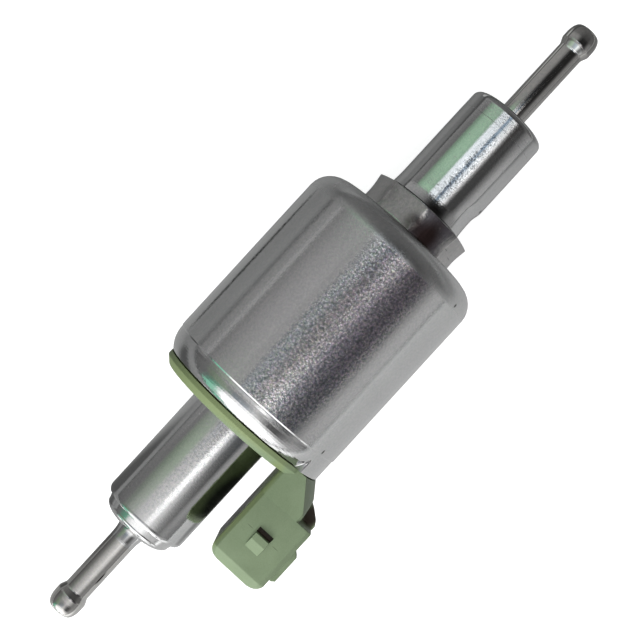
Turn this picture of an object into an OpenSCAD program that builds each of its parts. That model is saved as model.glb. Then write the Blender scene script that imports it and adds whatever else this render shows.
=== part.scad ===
// Inline electric metering fuel pump: a solenoid drives a piston, a ball valve holds what it delivers.
// The pump's axis is X and fuel flows towards +X. The two-way blade header hangs on the -Y side.
// The origin is on the axis, at the middle of the can's straight band, where a clamp grips it.

/* [Can] */
// Outer diameter of the steel can
can_d = 36; // [34:0.5:44]
// Sheet thickness of the can
can_wall = 1.3; // [1:0.1:1.6]
// Length of the can's straight band, between the shoulder and the turned-down rim
can_band = 33.2; // [31:0.2:44]
// Outside radius of the can's shoulder
shoulder_r = 4.4; // [4:0.1:6]
// Radius to which the rim is rolled in over the cover
rim_roll_r = 5.8; // [5.2:0.1:7]
// How far the rim is turned down below the band
rim_step = 0.2; // [0.2:0.02:0.4]
// Straight length of the rim before it rolls in
rim_flat = 0.4; // [0.3:0.1:1]
// Half the angle left unrolled where the connector comes out
rim_gap_angle = 37; // [34:1:44]

/* [Crimped collar] */
// Wall of the collar at the middle of its flats
collar_wall = 1.4; // [1.2:0.1:2.8]
// Length of the collar
collar_len = 5.45; // [4.5:0.05:9]
// How much the crimp draws in the collar's corners at mid length
collar_waist = 0.45; // [0.1:0.05:0.7]

/* [Inlet tube] */
// Outer diameter of the inlet tube and of the core that it joins
tube_d = 16.4; // [16:0.1:18]
// Wall of the inlet tube
tube_wall = 1.5; // [1.3:0.1:1.7]
// Length of the tube that shows between the cover and its rolled end
tube_shown = 22.3; // [20:0.1:34]
// Length of the end rolled over the inlet cap
crimp_len = 1.5; // [1.2:0.1:2]
// Length of the cap's dome beyond the rolled end
dome_len = 2; // [1.5:0.1:3]

/* [Outlet] */
// Outer diameter of the outlet cylinder
outlet_d = 15.2; // [14.6:0.1:15.8]
// Length of the outlet cylinder from the collar to the cap's joint
outlet_len = 18.75; // [17:0.05:34]
// Length of the outlet cap's visible flange
outlet_cap_len = 3.7; // [3:0.1:5]
// Bore of the outlet cylinder
outlet_bore_d = 10.4; // [10.2:0.1:11]

/* [Hose spigots] */
// Outer diameter of a spigot's shank
hose_d = 4.8; // [4.6:0.1:5.2]
// Fuel bore of a spigot
hose_bore = 2.8; // [2.2:0.1:3]
// Diameter of the bead that holds the hose
bead_d = 5.9; // [5.7:0.1:6.4]
// Shank between the outlet cap and its bead
outlet_shank = 16; // [12:0.5:26]
// Shank between the inlet cap and its bead
inlet_shank = 15; // [12:0.5:26]

/* [Connector] */
// Thickness of the cover's flange
flange_t = 2.1; // [1.8:0.1:3.5]
// How far the flange's edge stands in from the can's side
flange_inset = 1.65; // [1.4:0.05:1.7]
// Clear gap between the inlet tube and the connector
head_gap = 3.5; // [2.8:0.1:4.2]
// Thickness of the connector, away from the tube
head_t = 11.4; // [11:0.1:13]
// Width of the connector, across the two blades
head_w = 17; // [16.6:0.1:18]
// Length of the connector
head_len = 14.2; // [13.8:0.1:17]
// Length of the neck between the flange and the connector
neck_len = 4.6; // [4.2:0.1:7]
// Wall of the socket
socket_wall = 1.8; // [1.6:0.1:2]
// Depth of the socket
socket_depth = 11.5; // [11:0.1:12]
// Width of a contact blade
blade_w = 2.8; // [2.4:0.1:3.2]
// Thickness of a contact blade
blade_t = 0.8; // [0.6:0.1:1]
// Distance between the two blades
blade_pitch = 5; // [4.6:0.1:5.4]
// How far the blade tips stand back from the socket's mouth
blade_setback = 4.6; // [4.4:0.1:6]

/* [Coil] */
// Thickness of the yoke washer that closes the magnetic circuit
yoke_t = 2.4; // [2:0.1:2.6]
// Thickness of the bobbin's flanges
bobbin_flange_t = 1.5; // [1.2:0.1:1.8]
// Wall of the bobbin's tube
bobbin_wall = 1; // [0.8:0.1:1.4]
// Space left above the winding, below the flanges' edge
winding_inset = 1.2; // [0.8:0.1:2]
// Thickness of the tape round the winding
tape_t = 0.3; // [0.2:0.05:0.5]

/* [Plunger] */
// Full travel of the plunger
stroke = 2.2; // [1.6:0.1:2.6]
// Diameter of the piston
piston_d = 4; // [3.6:0.1:4.2]
// Length of the armature
armature_len = 17.5; // [16:0.5:18]
// Length of the non-magnetic ring that the armature bridges
gap_ring_len = 6; // [5:0.5:8]
// Travel at which the piston closes the barrel's ports
port_travel = 0.45; // [0.3:0.05:0.7]
// Wire of the return spring
spring_wire = 0.7; // [0.5:0.05:0.8]
// Turns of the return spring
spring_turns = 6; // [5:1:8]

/* [Outlet valve] */
// Diameter of the valve ball
ball_d = 5; // [4.6:0.1:5.2]
// Lift of the valve ball
ball_lift = 0.8; // [0.5:0.1:1]
// Turns of the valve spring
valve_turns = 5; // [4:1:6]

/* [Hidden] */
$fn = 96;

// Clearances
slip = 0.05;          // parts that are pushed together and stay
run = 0.08;           // the armature in its tube
piston_run = 0.02;    // the piston in its barrel
touch = 0.02;         // a moving part at its stop
ring_gap = 0.03;      // a seal in its groove

// Can
can_r = can_d / 2;
can_bore_r = can_r - can_wall;
band_end = can_band / 2;
rim_start = -can_band / 2;
can_top = band_end + shoulder_r;
can_floor = can_top - can_wall;
roll_angle = 45;
roll_centre_r = can_r - rim_step - rim_roll_r;
roll_start = rim_start - rim_flat;
rim_end = roll_start - rim_roll_r * sin(roll_angle);
rim_slit = 0.8;       // angle of the slits that free the straight tongue at the connector

// Collar
collar_flat_r = tube_d / 2 + collar_wall;
collar_r = collar_flat_r / cos(22.5);
collar_top = can_top + collar_len;
collar_foot = 0.5;    // fillet where the collar meets the can

// Tube, core and shoulder below the can's top
tube_r = tube_d / 2;
bore_r = tube_r - tube_wall;
shoulder_t = 1.6;
shoulder_step = 1;
can_hole_r = tube_r + slip;

// Connector cover
cover_face = rim_end - slip;
cover_out = cover_face - flange_t;
flange_r = can_r - flange_inset;
flange_bevel = 1.2;
plug_len = 2.75;
plug_top = cover_face + plug_len;
yoke_out = plug_top + yoke_t;
head_in = tube_r + head_gap;
head_out = head_in + head_t;
head_mid = (head_in + head_out) / 2;
head_top = cover_out - neck_len;
mouth = head_top - head_len;
socket_floor = mouth + socket_depth;
blade_tip = mouth + blade_setback;
mouth_corner = 2.2;
mouth_bevel_x = 1.9;
mouth_bevel_z = 1.3;
edge_bevel = 0.5;
neck_slope = 37.5;    // how the neck's outer side leans away from the axis
neck_notch = 3;       // how far the neck stands back from the connector's outer side
rib_w = 2.8;
rib_h = 1.6;
rib_slope = 1;        // length over which the rib rises
nub_w = 3;
nub_h = 1.1;
nub_len = 3.1;
nub_top_len = 1.3;
nub_place = 3.1;      // from the socket's floor to the nub's high edge
slot_depth = 1;
slot_len = 1;
blade_point = 0.6;    // bevel at a blade's tip

// Blades, inside the cover
leg_inset = 3.4;      // from the can's bore to the middle of a leg
leg_y = can_bore_r - leg_inset;
leg_w = 2;
leg_reach = 2;        // how far a leg stands up through the yoke washer
leg_top = plug_top + leg_reach;
jog_depth = 3.5;
jog_x = cover_out - jog_depth;
jog_w = 2;
lead_r = 0.25;
lead_z = blade_pitch / 2 + blade_t / 2 + lead_r;

// Coil
bobbin_clear = 0.2;   // bobbin round the tube
bobbin_bore_r = tube_r + bobbin_clear;
bobbin_tube_r = bobbin_bore_r + bobbin_wall;
bobbin_in = yoke_out;
coil_in = bobbin_in + bobbin_flange_t;
bobbin_top = can_floor - 2 * slip;
coil_out = band_end - 2 * slip;
coil_flange_out = coil_out + bobbin_flange_t;
corner_r = shoulder_r - can_wall;
corner_rise = coil_flange_out - band_end;
bobbin_r = can_r - shoulder_r + sqrt(corner_r * corner_r - corner_rise * corner_rise) - 2 * slip;
boss_inset = 0.6;
boss_r = can_r - shoulder_r - boss_inset;
boss_bore_r = tube_r + shoulder_step + 0.15;
winding_r = bobbin_r - winding_inset;

// Magnetic gap and plunger
pole_x = 3;
gap_x = pole_x - gap_ring_len;
bumper_stand = 0.3;   // how far the end bumper stands out of the pole face
front = pole_x - bumper_stand - stroke;
back = front - armature_len;
armature_r = bore_r - run;
groove_w = 2;
groove_depth = 1.3;
piston_r = piston_d / 2;
piston_grip = 4.5;    // length of the piston pressed in the armature
barrel_bore_r = piston_r + piston_run;
rest_bumper_t = 1.2;
rest_bumper_w = 2.4;
stop_t = 3.3;
stop_w = 3.2;
stop_top = back - touch - rest_bumper_t;

// Spring pocket, barrel and valve, inside the outlet body
barrel_nose_wall = 1.46;
barrel_nose_r = barrel_bore_r + barrel_nose_wall;
barrel_lead = 1.5;    // how far the barrel's nose stands back from the pole face
spring_clear = 0.4;   // spring round the barrel's nose
spring_r = barrel_nose_r + spring_clear + spring_wire / 2;
spring_in_r = (spring_r - spring_wire / 2) * cos(22.5);
spring_seat = 1;      // depth of the spring's seat in the armature
pocket_clear = 0.25;
pocket_r = spring_r + spring_wire / 2 + pocket_clear;
pocket_len = 7;
pocket_end = pole_x + pocket_len;
pocket_web = 1;
web_end = pocket_end + pocket_web;
bumper_in_r = pocket_r + 0.2;
bumper_w = 0.9;
bumper_depth = 0.9;   // how deep the end bumper is let into the pole face
outlet_bore_r = outlet_bore_d / 2;
gasket_t = 0.6;
barrel_flange_t = 2.4;
barrel_end = web_end + gasket_t + barrel_flange_t;
port_r = 0.4;
piston_short = 1.1;   // from the piston's tip to the end of the spring's pocket
piston_tip = pocket_end - piston_short;
port_x = piston_tip + port_travel - port_r;
seat_t = 3.4;
seat_land = 1;        // from the seat's back face to its seal groove
seat_out = barrel_end + seat_t;
seat_bore_r = 1.5;
seat_cone = 1.8;      // length of the seat's 45 degree cone
ball_r = ball_d / 2;
ball_x = seat_out - seat_cone - seat_bore_r + (ball_r + touch) * sqrt(2);
ball_clear = 0.15;    // ball in its cage
cage_bore_r = ball_r + ball_clear;
valve_wire = 0.4;
valve_spring_r = 1.6;
spring_room = 4;      // left for the valve spring when the ball is lifted
cage_floor = ball_x + ball_r + ball_lift + spring_room;
cage_wall = 1.4;
cage_out = cage_floor + cage_wall;

// Ends of the outlet
body_end = collar_top + outlet_len;
outlet_end = body_end + outlet_cap_len;
outlet_r = outlet_d / 2;
relief_depth = 0.2;
relief_r = outlet_r - relief_depth;
relief_len = 6.75;
undercut_depth = 0.45;
undercut_r = outlet_r - undercut_depth;
undercut_len = 0.5;
plug_r = outlet_bore_r - slip;
outlet_plug_len = 6;
spigot_seat = 3;      // how deep the outlet spigot sits below the cap's joint
cap_seal_x = body_end - 3;

// Inlet end
tube_end = cover_out - tube_shown;
cap_step = 0.5;       // counterbore that the cap seats in
cap_counter_r = bore_r + cap_step;
cap_r = cap_counter_r - slip;
cap_plug_len = 4.4;
cap_in = tube_end + cap_plug_len;
cap_land = 1.4;       // from the cap's inner face to its seal groove
crimp_depth = 1.2;
crimp_r = tube_r - crimp_depth;
dome_step = 0.25;
dome_base_r = crimp_r - dome_step;
dome_end = tube_end - crimp_len - dome_len;
dome_boss = 0.5;      // small boss round the inlet spigot
inlet_seat_len = 4.9;
inlet_seat = dome_end + inlet_seat_len;

// Seals
seal_r = 0.52;
seal_groove = 1.4;
groove_r = 2 * seal_r + 0.02;

// Filter
filter_len = 14;
filter_end = cap_in + filter_len;
filter_gap = 1.1;     // fuel space round the filter
filter_r = bore_r - filter_gap;
filter_rib_t = 0.8;
filter_rim_t = 1.8;
filter_end_t = 1.5;
mesh_t = 0.3;
mesh_r = filter_r - filter_rib_t;

// Spigots
hose_r = hose_d / 2;
hose_bore_r = hose_bore / 2;
bead_r = bead_d / 2;
bead_cone = 1.2;
bead_land = 1.1;
bead_nose = 2.4;
bead_len = bead_cone + bead_land + bead_nose;
tip_r = hose_r - 0.5;
outlet_tip = outlet_end + outlet_shank + bead_len;
inlet_tip = dome_end - inlet_shank - bead_len;
drill_r = hose_bore_r + 0.2;

// Points of an arc in a turned profile: radius first, then place along the axis
function arc(centre_r, centre_x, radius, from, to, steps = 8) = [
    for (i = [0:steps])
        let (a = from + (to - from) * i / steps)
            [centre_r + radius * cos(a), centre_x + radius * sin(a)]
];

// A profile of [radius, x] points turned about the X axis
module turned(profile) {
    rotate([0, 90, 0]) rotate_extrude() polygon(profile);
}

// A plain ring from one place on the axis to another
module ring(inner, outer, from, to) {
    turned([[inner, from], [outer, from], [outer, to], [inner, to]]);
}

// A cylinder along the X axis, for bores
module bore(radius, from, to) {
    translate([from, 0, 0]) rotate([0, 90, 0]) cylinder(r = radius, h = to - from);
}

// A round seal
module seal(centre_r, x) {
    rotate([0, 90, 0]) rotate_extrude() translate([centre_r, x]) circle(r = seal_r, $fn = 32);
}

// A block between two corners
module block(low, high) {
    translate(low) cube(high - low);
}

// The sector towards the connector, from one place on the axis to another
module sector(half_angle, from, to) {
    reach = 2 * can_r;
    translate([from, 0, 0]) rotate([0, 90, 0])
        linear_extrude(to - from)
            polygon([[0, 0], for (a = [-half_angle, 0, half_angle])
                reach * [sin(a), -cos(a)]]);
}

// A helical spring along X: a six-sided wire, eight rings to a turn
module spring(mean_r, wire_r, from, to, turns) {
    rings = 8 * turns;
    rise = (to - from) / rings;
    points = [
        for (i = [0:rings], k = [0:5])
            let (turn = 45 * i, side = 60 * k, r = mean_r + wire_r * cos(side))
                [from + rise * i + wire_r * sin(side), r * cos(turn), r * sin(turn)]
    ];
    sides = [
        for (i = [0:rings - 1], k = [0:5])
            let (a = 6 * i + k, b = 6 * i + (k + 1) % 6)
                each [[a, a + 6, b], [b, a + 6, b + 6]]
    ];
    start = [for (k = [1:4]) [0, k, k + 1]];
    last = 6 * rings;
    end = [for (k = [1:4]) [last, last + k + 1, last + k]];
    polyhedron(points, concat(sides, start, end));
}

// Can: a drawn cup with a hole for the core, its rim rolled in except at the connector
module can() {
    top = concat(
        [[can_hole_r, can_top]],
        arc(can_r - shoulder_r, band_end, shoulder_r, 90, 0),
        [[can_r, rim_start], [can_r - rim_step, rim_start]]
    );
    inside = concat(
        arc(can_r - shoulder_r, band_end, corner_r, 0, 90),
        [[can_hole_r, can_floor]]
    );
    rolled = concat(
        arc(roll_centre_r, roll_start, rim_roll_r, 0, -roll_angle),
        arc(roll_centre_r, roll_start, can_bore_r - roll_centre_r, -roll_angle, 0)
    );
    color("silver") union() {
        difference() {
            turned(concat(top, rolled, inside));
            sector(rim_gap_angle, rim_end - 1, roll_start + rim_flat / 2);
        }
        intersection() {
            ring(can_bore_r, can_r - rim_step, rim_end, roll_start + rim_flat * 0.8);
            sector(rim_gap_angle - rim_slit, rim_end - 1, rim_start);
        }
    }
}

// Collar crimped on the core in eight jaws, so its corners are drawn in at mid length
module crimp_collar() {
    waist_x = (can_top + collar_top) / 2;
    half = collar_len / 2;
    waist_r = (half * half + collar_waist * collar_waist) / (2 * collar_waist);
    waist_a = asin(half / waist_r);
    color("silver") difference() {
        union() {
            intersection() {
                translate([can_top, 0, 0]) rotate([0, 90, 0])
                    cylinder(r = collar_r, h = collar_len, $fn = 8);
                turned(concat(
                    [[0, can_top]],
                    arc(collar_r - collar_waist + waist_r, waist_x, waist_r, 180 + waist_a, 180 - waist_a),
                    [[0, collar_top]]
                ));
            }
            turned([
                [tube_r, can_top], [collar_flat_r + collar_foot, can_top],
                [collar_flat_r - slip, can_top + collar_foot], [tube_r, can_top + collar_foot]
            ]);
        }
        bore(can_hole_r, can_top - 1, collar_top + 1);
    }
}

// Outline of one contact blade, stamped flat and jogged in towards the coil
module blade_outline() {
    polygon([
        [blade_tip + 0.6, -head_mid - blade_w / 2 + 0.6], [blade_tip, -head_mid - blade_w / 4],
        [blade_tip, -head_mid + blade_w / 4], [blade_tip + 0.6, -head_mid + blade_w / 2 - 0.6],
        [jog_x - jog_w, -head_mid + blade_w / 2], [jog_x - jog_w, -leg_y + leg_w / 2],
        [leg_top, -leg_y + leg_w / 2], [leg_top, -leg_y - leg_w / 2], [jog_x, -leg_y - leg_w / 2],
        [jog_x, -head_mid - blade_w / 2], [blade_tip + 1.2, -head_mid - blade_w / 2]
    ]);
}

// Contact blades
module terminal_blades() {
    color("gainsboro")
        for (side = [-1, 1])
            translate([0, 0, side * blade_pitch / 2 - blade_t / 2])
                linear_extrude(blade_t) blade_outline();
}

// Connector and its neck as one block, before the socket is cut
module connector_block() {
    neck_out = head_out - neck_notch;
    lean_r = 22;      // roundness of the neck's outer side
    intersection() {
        // Seen from the side: rounded corners at the mouth, the neck leaning out to the connector
        union() {
            translate([0, 0, -head_w / 2]) linear_extrude(head_w) polygon(concat(
                [[head_top, -head_out]],
                [for (a = [0:15:90]) [mouth + mouth_corner * (1 - sin(a)),
                                      -head_out + mouth_corner * (1 - cos(a))]],
                [for (a = [0:15:90]) [mouth + mouth_corner * (1 - cos(a)),
                                      -head_in - mouth_corner * (1 - sin(a))]],
                [[head_top, -head_in]]
            ));
            intersection() {
                block([head_top - 1, -neck_out, -head_w / 2], [cover_face, -head_in, head_w / 2]);
                translate([cover_face, -can_r + 0.1, 0]) rotate([0, 0, neck_slope - 90])
                    translate([-lean_r, 0, 0]) rotate([90, 0, 0])
                        cylinder(r = lean_r, h = 60, center = true);
            }
        }
        // Seen from the axis: the mouth is bevelled on both broad ends
        translate([0, -head_in, 0]) rotate([90, 0, 0]) linear_extrude(head_t) polygon([
            [cover_face, -head_w / 2], [mouth + mouth_bevel_x, -head_w / 2],
            [mouth, -head_w / 2 + mouth_bevel_z], [mouth, head_w / 2 - mouth_bevel_z],
            [mouth + mouth_bevel_x, head_w / 2], [cover_face, head_w / 2]
        ]);
        // Seen from the mouth: the four long edges are bevelled
        translate([mouth, 0, 0]) rotate([0, 90, 0]) linear_extrude(cover_face - mouth) polygon([
            for (z = [-1, 1]) each let (
                near = [z * (head_w / 2 - edge_bevel), -head_in],
                near_side = [z * head_w / 2, -head_in - edge_bevel],
                far_side = [z * head_w / 2, -head_out + edge_bevel],
                far = [z * (head_w / 2 - edge_bevel), -head_out]
            ) z < 0 ? [near, near_side, far_side, far] : [far, far_side, near_side, near]
        ]);
    }
}

// Rib on the connector's outer side and the web that stiffens its neck
module connector_ribs() {
    rib_top = socket_floor - 1.5;
    rib_end = mouth + 2.4;
    rib_root = 0.5;   // how deep the rib is rooted in the connector
    web_from = cover_face - 2.2;
    web_len = 3.4;
    translate([0, 0, -rib_w / 2]) linear_extrude(rib_w) translate([0, -head_out]) {
        polygon([
            [rib_top, rib_root], [rib_top, 0], [rib_top - rib_slope * 1.44, -rib_h],
            [rib_end + 0.5, -rib_h], [rib_end, -rib_h + 0.6], [rib_end, rib_root]
        ]);
        polygon([
            [web_from, neck_notch + 1], [head_top + web_len, neck_notch],
            [head_top + web_len * 0.8, 2.2], [head_top + 1.4, 0.7],
            [head_top + 0.6, 0.1], [head_top, 0], [head_top, neck_notch + 1]
        ]);
    }
}

// Cover: plug inside the rim, flange, neck and connector in one moulding over the blades
module connector_cover() {
    plug_gap_r = can_bore_r - roll_centre_r - 2 * slip;
    plug_a = asin((roll_start - plug_top) / plug_gap_r);
    nub_high = socket_floor - 3.1;
    nub_y = -head_mid;
    color("darkseagreen") difference() {
        union() {
            turned(concat(
                [[can_hole_r, plug_top]],
                arc(roll_centre_r, roll_start, plug_gap_r, -plug_a, -roll_angle, 5),
                [[roll_centre_r + plug_gap_r * cos(roll_angle), cover_face], [flange_r, cover_face],
                 [flange_r, cover_out + flange_bevel], [flange_r - flange_bevel, cover_out],
                 [can_hole_r, cover_out]]
            ));
            intersection() {
                ring(can_hole_r + 2, can_bore_r - 2 * slip, cover_face - 0.5, plug_top);
                sector(rim_gap_angle - 2, cover_face - 1, plug_top + 1);
            }
            connector_block();
            connector_ribs();
            for (z = [-1, 1]) translate([0, nub_y + nub_w / 2, 0]) rotate([90, 0, 0])
                linear_extrude(nub_w) polygon([
                    [nub_high, z * (head_w / 2 - 0.5)], [nub_high, z * (head_w / 2 + nub_h)],
                    [nub_high - 1.3, z * (head_w / 2 + nub_h)], [nub_high - 3.1, z * head_w / 2],
                    [nub_high - 3.1, z * (head_w / 2 - 0.5)]
                ]);
        }
        for (z = [-1, 1]) mirror([0, 0, z < 0 ? 1 : 0])
            block([nub_high, nub_y - nub_w / 2, head_w / 2 - slot_depth],
                  [nub_high + 1, nub_y + nub_w / 2, head_w / 2 + 1]);
        block([mouth - 1, -head_out + socket_wall, -head_w / 2 + socket_wall],
              [socket_floor, -head_in - socket_wall, head_w / 2 - socket_wall]);
        bore(can_hole_r, cover_out - 1, plug_top + 1);
        terminal_blades();
    }
}

// Wires from the winding to the blades
module coil_leads() {
    color("peru")
        for (side = [-1, 1])
            translate([0, -leg_y, side * lead_z])
                bore(lead_r, plug_top + 0.3, coil_in);
}

// Bobbin: a moulded spool whose boss meets the can's floor
module coil_bobbin() {
    color("ivory") difference() {
        turned([
            [bobbin_bore_r, bobbin_in], [bobbin_r, bobbin_in], [bobbin_r, coil_in],
            [bobbin_tube_r, coil_in], [bobbin_tube_r, coil_out], [bobbin_r, coil_out],
            [bobbin_r, coil_flange_out], [boss_r, coil_flange_out], [boss_r, bobbin_top],
            [boss_bore_r, bobbin_top], [boss_bore_r, can_floor - shoulder_t - slip],
            [bobbin_bore_r, can_floor - shoulder_t - slip]
        ]);
        for (side = [-1, 1])
            translate([0, -leg_y, side * lead_z])
                bore(lead_r + 0.1, bobbin_in - 1, coil_in + 0.01);
    }
}

// Winding, as the solid ring that its layers fill
module coil_winding() {
    color("peru") ring(bobbin_tube_r, winding_r, coil_in, coil_out);
}

// Tape round the winding
module winding_tape() {
    color("khaki") ring(winding_r, winding_r + tape_t, coil_in, coil_out);
}

// Yoke washer: carries the flux from the can to the inlet tube, slotted for the blades
module yoke_washer() {
    slot_margin = 0.8;
    slot_z = lead_z + lead_r + slot_margin;
    lead_in = 1;      // bevel that guides the washer into the can
    color("slategray") difference() {
        turned([
            [can_hole_r, plug_top], [can_bore_r - 0.4, plug_top], [can_bore_r - slip, plug_top + lead_in],
            [can_bore_r - slip, yoke_out], [can_hole_r, yoke_out]
        ]);
        block([plug_top - 1, -can_r, -slot_z], [yoke_out + 1, -leg_y + leg_w / 2 + slot_margin - 0.2, slot_z]);
    }
}

// Inlet tube: steel, its end rolled over the inlet cap
module inlet_tube() {
    color("silver") turned(concat(
        [[bore_r, gap_x], [tube_r, gap_x], [tube_r, tube_end]],
        arc(tube_r - crimp_len, tube_end, crimp_len, 0, -50, 4),
        [[crimp_r, tube_end - crimp_len], [dome_base_r + slip, tube_end - crimp_len],
         [cap_counter_r, tube_end], [cap_counter_r, cap_in], [bore_r, cap_in]]
    ));
}

// Gap ring: brass, brazed between the tube and the core so that the flux crosses the armature
module gap_ring() {
    color("goldenrod") ring(bore_r, tube_r, gap_x, pole_x);
}

// Outlet body: the fixed pole, the spring pocket and the outlet cylinder in one turned piece
module outlet_body() {
    shoulder_in = can_floor - shoulder_t;
    color("silver") difference() {
        turned([
            [0, pole_x], [tube_r, pole_x], [tube_r, shoulder_in], [tube_r + shoulder_step, shoulder_in],
            [tube_r + shoulder_step, can_floor], [tube_r, can_floor], [tube_r, collar_top - undercut_len],
            [undercut_r, collar_top - undercut_len], [undercut_r, collar_top + undercut_len],
            [relief_r, collar_top + undercut_len], [relief_r, collar_top + relief_len],
            [outlet_r, collar_top + relief_len], [outlet_r, body_end], [0, body_end]
        ]);
        bore(pocket_r, pole_x - 1, pocket_end);
        bore(barrel_nose_r + slip, pocket_end - 1, web_end + 1);
        bore(outlet_bore_r, web_end, body_end + 1);
        difference() {
            bore(bumper_in_r + bumper_w, pole_x - 1, pole_x + bumper_depth);
            bore(bumper_in_r, pole_x - 2, pole_x + bumper_depth + 1);
        }
    }
}

// Inlet cap: domed plug with a seal groove, drilled for the spigot
module inlet_cap() {
    groove_x = cap_in - cap_land;
    dome_flat_r = hose_r + 1.6;
    color("silver") difference() {
        turned(concat(
            [[0, cap_in - slip], [cap_r, cap_in - slip], [cap_r, groove_x], [cap_r - groove_r, groove_x],
             [cap_r - groove_r, groove_x - seal_groove], [cap_r, groove_x - seal_groove],
             [cap_r, tube_end], [dome_base_r, tube_end - crimp_len]],
            [for (a = [10:10:90]) [dome_flat_r + (dome_base_r - dome_flat_r) * cos(a),
                                   tube_end - crimp_len - dome_len * sin(a)]],
            [[hose_r + dome_boss + 0.2, dome_end], [hose_r + 0.2, dome_end - dome_boss],
             [0, dome_end - dome_boss]]
        ));
        bore(hose_r, dome_end - 1, inlet_seat);
        bore(drill_r, dome_end, cap_in + 1);
    }
}

// Seal between the inlet cap and the tube
module inlet_cap_seal() {
    color("dimgray") seal(cap_counter_r - ring_gap - seal_r, cap_in - cap_land - seal_groove / 2);
}

// Hose spigot pointing to +X, from its seat to its tip, with a bead near the tip
module spigot(seat, tip) {
    bead_in = tip - bead_len;
    land_in = bead_in + bead_cone;
    nose_in = land_in + bead_land;
    turned(concat(
        [[hose_bore_r, seat], [hose_r, seat], [hose_r, bead_in], [bead_r, land_in], [bead_r, nose_in]],
        [for (a = [15:15:90]) [tip_r + (bead_r - tip_r) * cos(a), nose_in + bead_nose * sin(a)]],
        [[hose_bore_r, tip]]
    ));
}

// Spigots
module inlet_spigot() {
    color("silver") mirror([1, 0, 0]) spigot(-inlet_seat, -inlet_tip);
}

module outlet_spigot() {
    color("silver") spigot(body_end - spigot_seat, outlet_tip);
}

// Filter cage: an open ring at the cap, four ribs and a closed far end
module filter_cage() {
    rib = 1.4;
    color("ivory") {
        ring(filter_r - filter_rim_t, bore_r - slip, cap_in + slip, cap_in + filter_end_t);
        difference() {
            bore(filter_r, filter_end - filter_end_t, filter_end);
            bore(filter_r - filter_rim_t, filter_end - filter_end_t - 0.5, filter_end - 0.7);
        }
        intersection() {
            ring(mesh_r, filter_r, cap_in + filter_end_t - 0.5, filter_end - filter_end_t + 0.5);
            union() {
                block([cap_in, -filter_r, -rib / 2], [filter_end, filter_r, rib / 2]);
                block([cap_in, -rib / 2, -filter_r], [filter_end, rib / 2, filter_r]);
            }
        }
    }
}

// Filter mesh: a fine sleeve inside the cage's ribs
module filter_mesh() {
    color("whitesmoke") ring(mesh_r - mesh_t, mesh_r, cap_in + filter_end_t, filter_end - filter_end_t);
}

// Stop ring: pressed in the tube behind the armature
module stop_ring() {
    color("slategray") ring(bore_r - stop_w, bore_r, stop_top - stop_t, stop_top);
}

// Rest bumper: the rubber ring that the armature rests on
module rest_bumper() {
    in_r = bore_r - stop_w + 0.1;
    color("dimgray") ring(in_r, in_r + rest_bumper_w, stop_top, stop_top + rest_bumper_t);
}

// Armature: grooved outside, drilled from the back, so that fuel passes it
module armature() {
    back_bore_r = 2.6;
    armature_web = 2; // left between the back bore and the piston
    back_bore_end = front - piston_grip - armature_web;
    cross_r = 1;
    cross_x = back_bore_end - 2 * cross_r;
    seat_out_r = spring_r + spring_wire / 2 + 0.1;
    color("slategray") difference() {
        bore(armature_r, back, front);
        bore(back_bore_r, back - 1, back_bore_end);
        bore(piston_r, front - piston_grip, front + 1);
        difference() {
            bore(seat_out_r, front - spring_seat, front + 1);
            bore(spring_in_r - slip, front - spring_seat - 1, front + 2);
        }
        for (a = [0:90:270]) rotate([a, 0, 0]) {
            translate([cross_x, 0, 0]) cylinder(r = cross_r, h = armature_r + 1);
            block([back - 1, -groove_w / 2, armature_r - groove_depth],
                  [front + 1, groove_w / 2, armature_r + 1]);
        }
    }
}

// Piston: a hard pin pressed in the armature
module piston() {
    color("lightsteelblue") bore(piston_r, front - piston_grip, piston_tip);
}

// Return spring: between the armature and the end of its pocket
module return_spring() {
    end_gap = spring_wire / 2 + touch;
    color("darkgray")
        spring(spring_r, spring_wire / 2, front - spring_seat + end_gap, pocket_end - end_gap, spring_turns);
}

// End bumper: a rubber ring let into the pole face
module end_bumper() {
    color("dimgray")
        ring(bumper_in_r, bumper_in_r + bumper_w, pole_x - bumper_stand + touch, pole_x + bumper_depth);
}

// Barrel: brass, bored for the piston, with four filling ports
module barrel() {
    color("goldenrod") difference() {
        turned([
            [barrel_bore_r, pole_x + barrel_lead], [barrel_nose_r, pole_x + barrel_lead],
            [barrel_nose_r, web_end + gasket_t],
            [outlet_bore_r - slip, web_end + gasket_t], [outlet_bore_r - slip, barrel_end],
            [barrel_bore_r, barrel_end]
        ]);
        for (a = [0:90:270]) rotate([a, 0, 0])
            translate([port_x, 0, 0]) cylinder(r = port_r, h = barrel_nose_r + 1, $fn = 32);
    }
}

// Gasket under the barrel's flange
module barrel_seal() {
    color("dimgray") ring(barrel_nose_r + slip, outlet_bore_r - slip, web_end, web_end + gasket_t);
}

// Valve seat: a drilled disc with a 45 degree cone
module valve_seat() {
    groove_x = barrel_end + seat_land;
    color("goldenrod") turned([
        [seat_bore_r, barrel_end], [plug_r, barrel_end], [plug_r, groove_x], [plug_r - groove_r, groove_x],
        [plug_r - groove_r, groove_x + seal_groove], [plug_r, groove_x + seal_groove], [plug_r, seat_out],
        [seat_bore_r + seat_cone, seat_out], [seat_bore_r, seat_out - seat_cone]
    ]);
}

// Seal round the valve seat
module valve_seal() {
    color("dimgray") seal(outlet_bore_r - ring_gap - seal_r, barrel_end + seat_land + seal_groove / 2);
}

// Valve ball
module valve_ball() {
    color("lightsteelblue") translate([ball_x, 0, 0]) sphere(r = ball_r);
}

// Valve spring: from the ball to the cage's end wall
module valve_spring() {
    start = ball_x + sqrt(ball_r * ball_r - valve_spring_r * valve_spring_r) + valve_wire;
    color("darkgray")
        spring(valve_spring_r, valve_wire / 2, start, cage_floor - valve_wire / 2 - touch, valve_turns);
}

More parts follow.
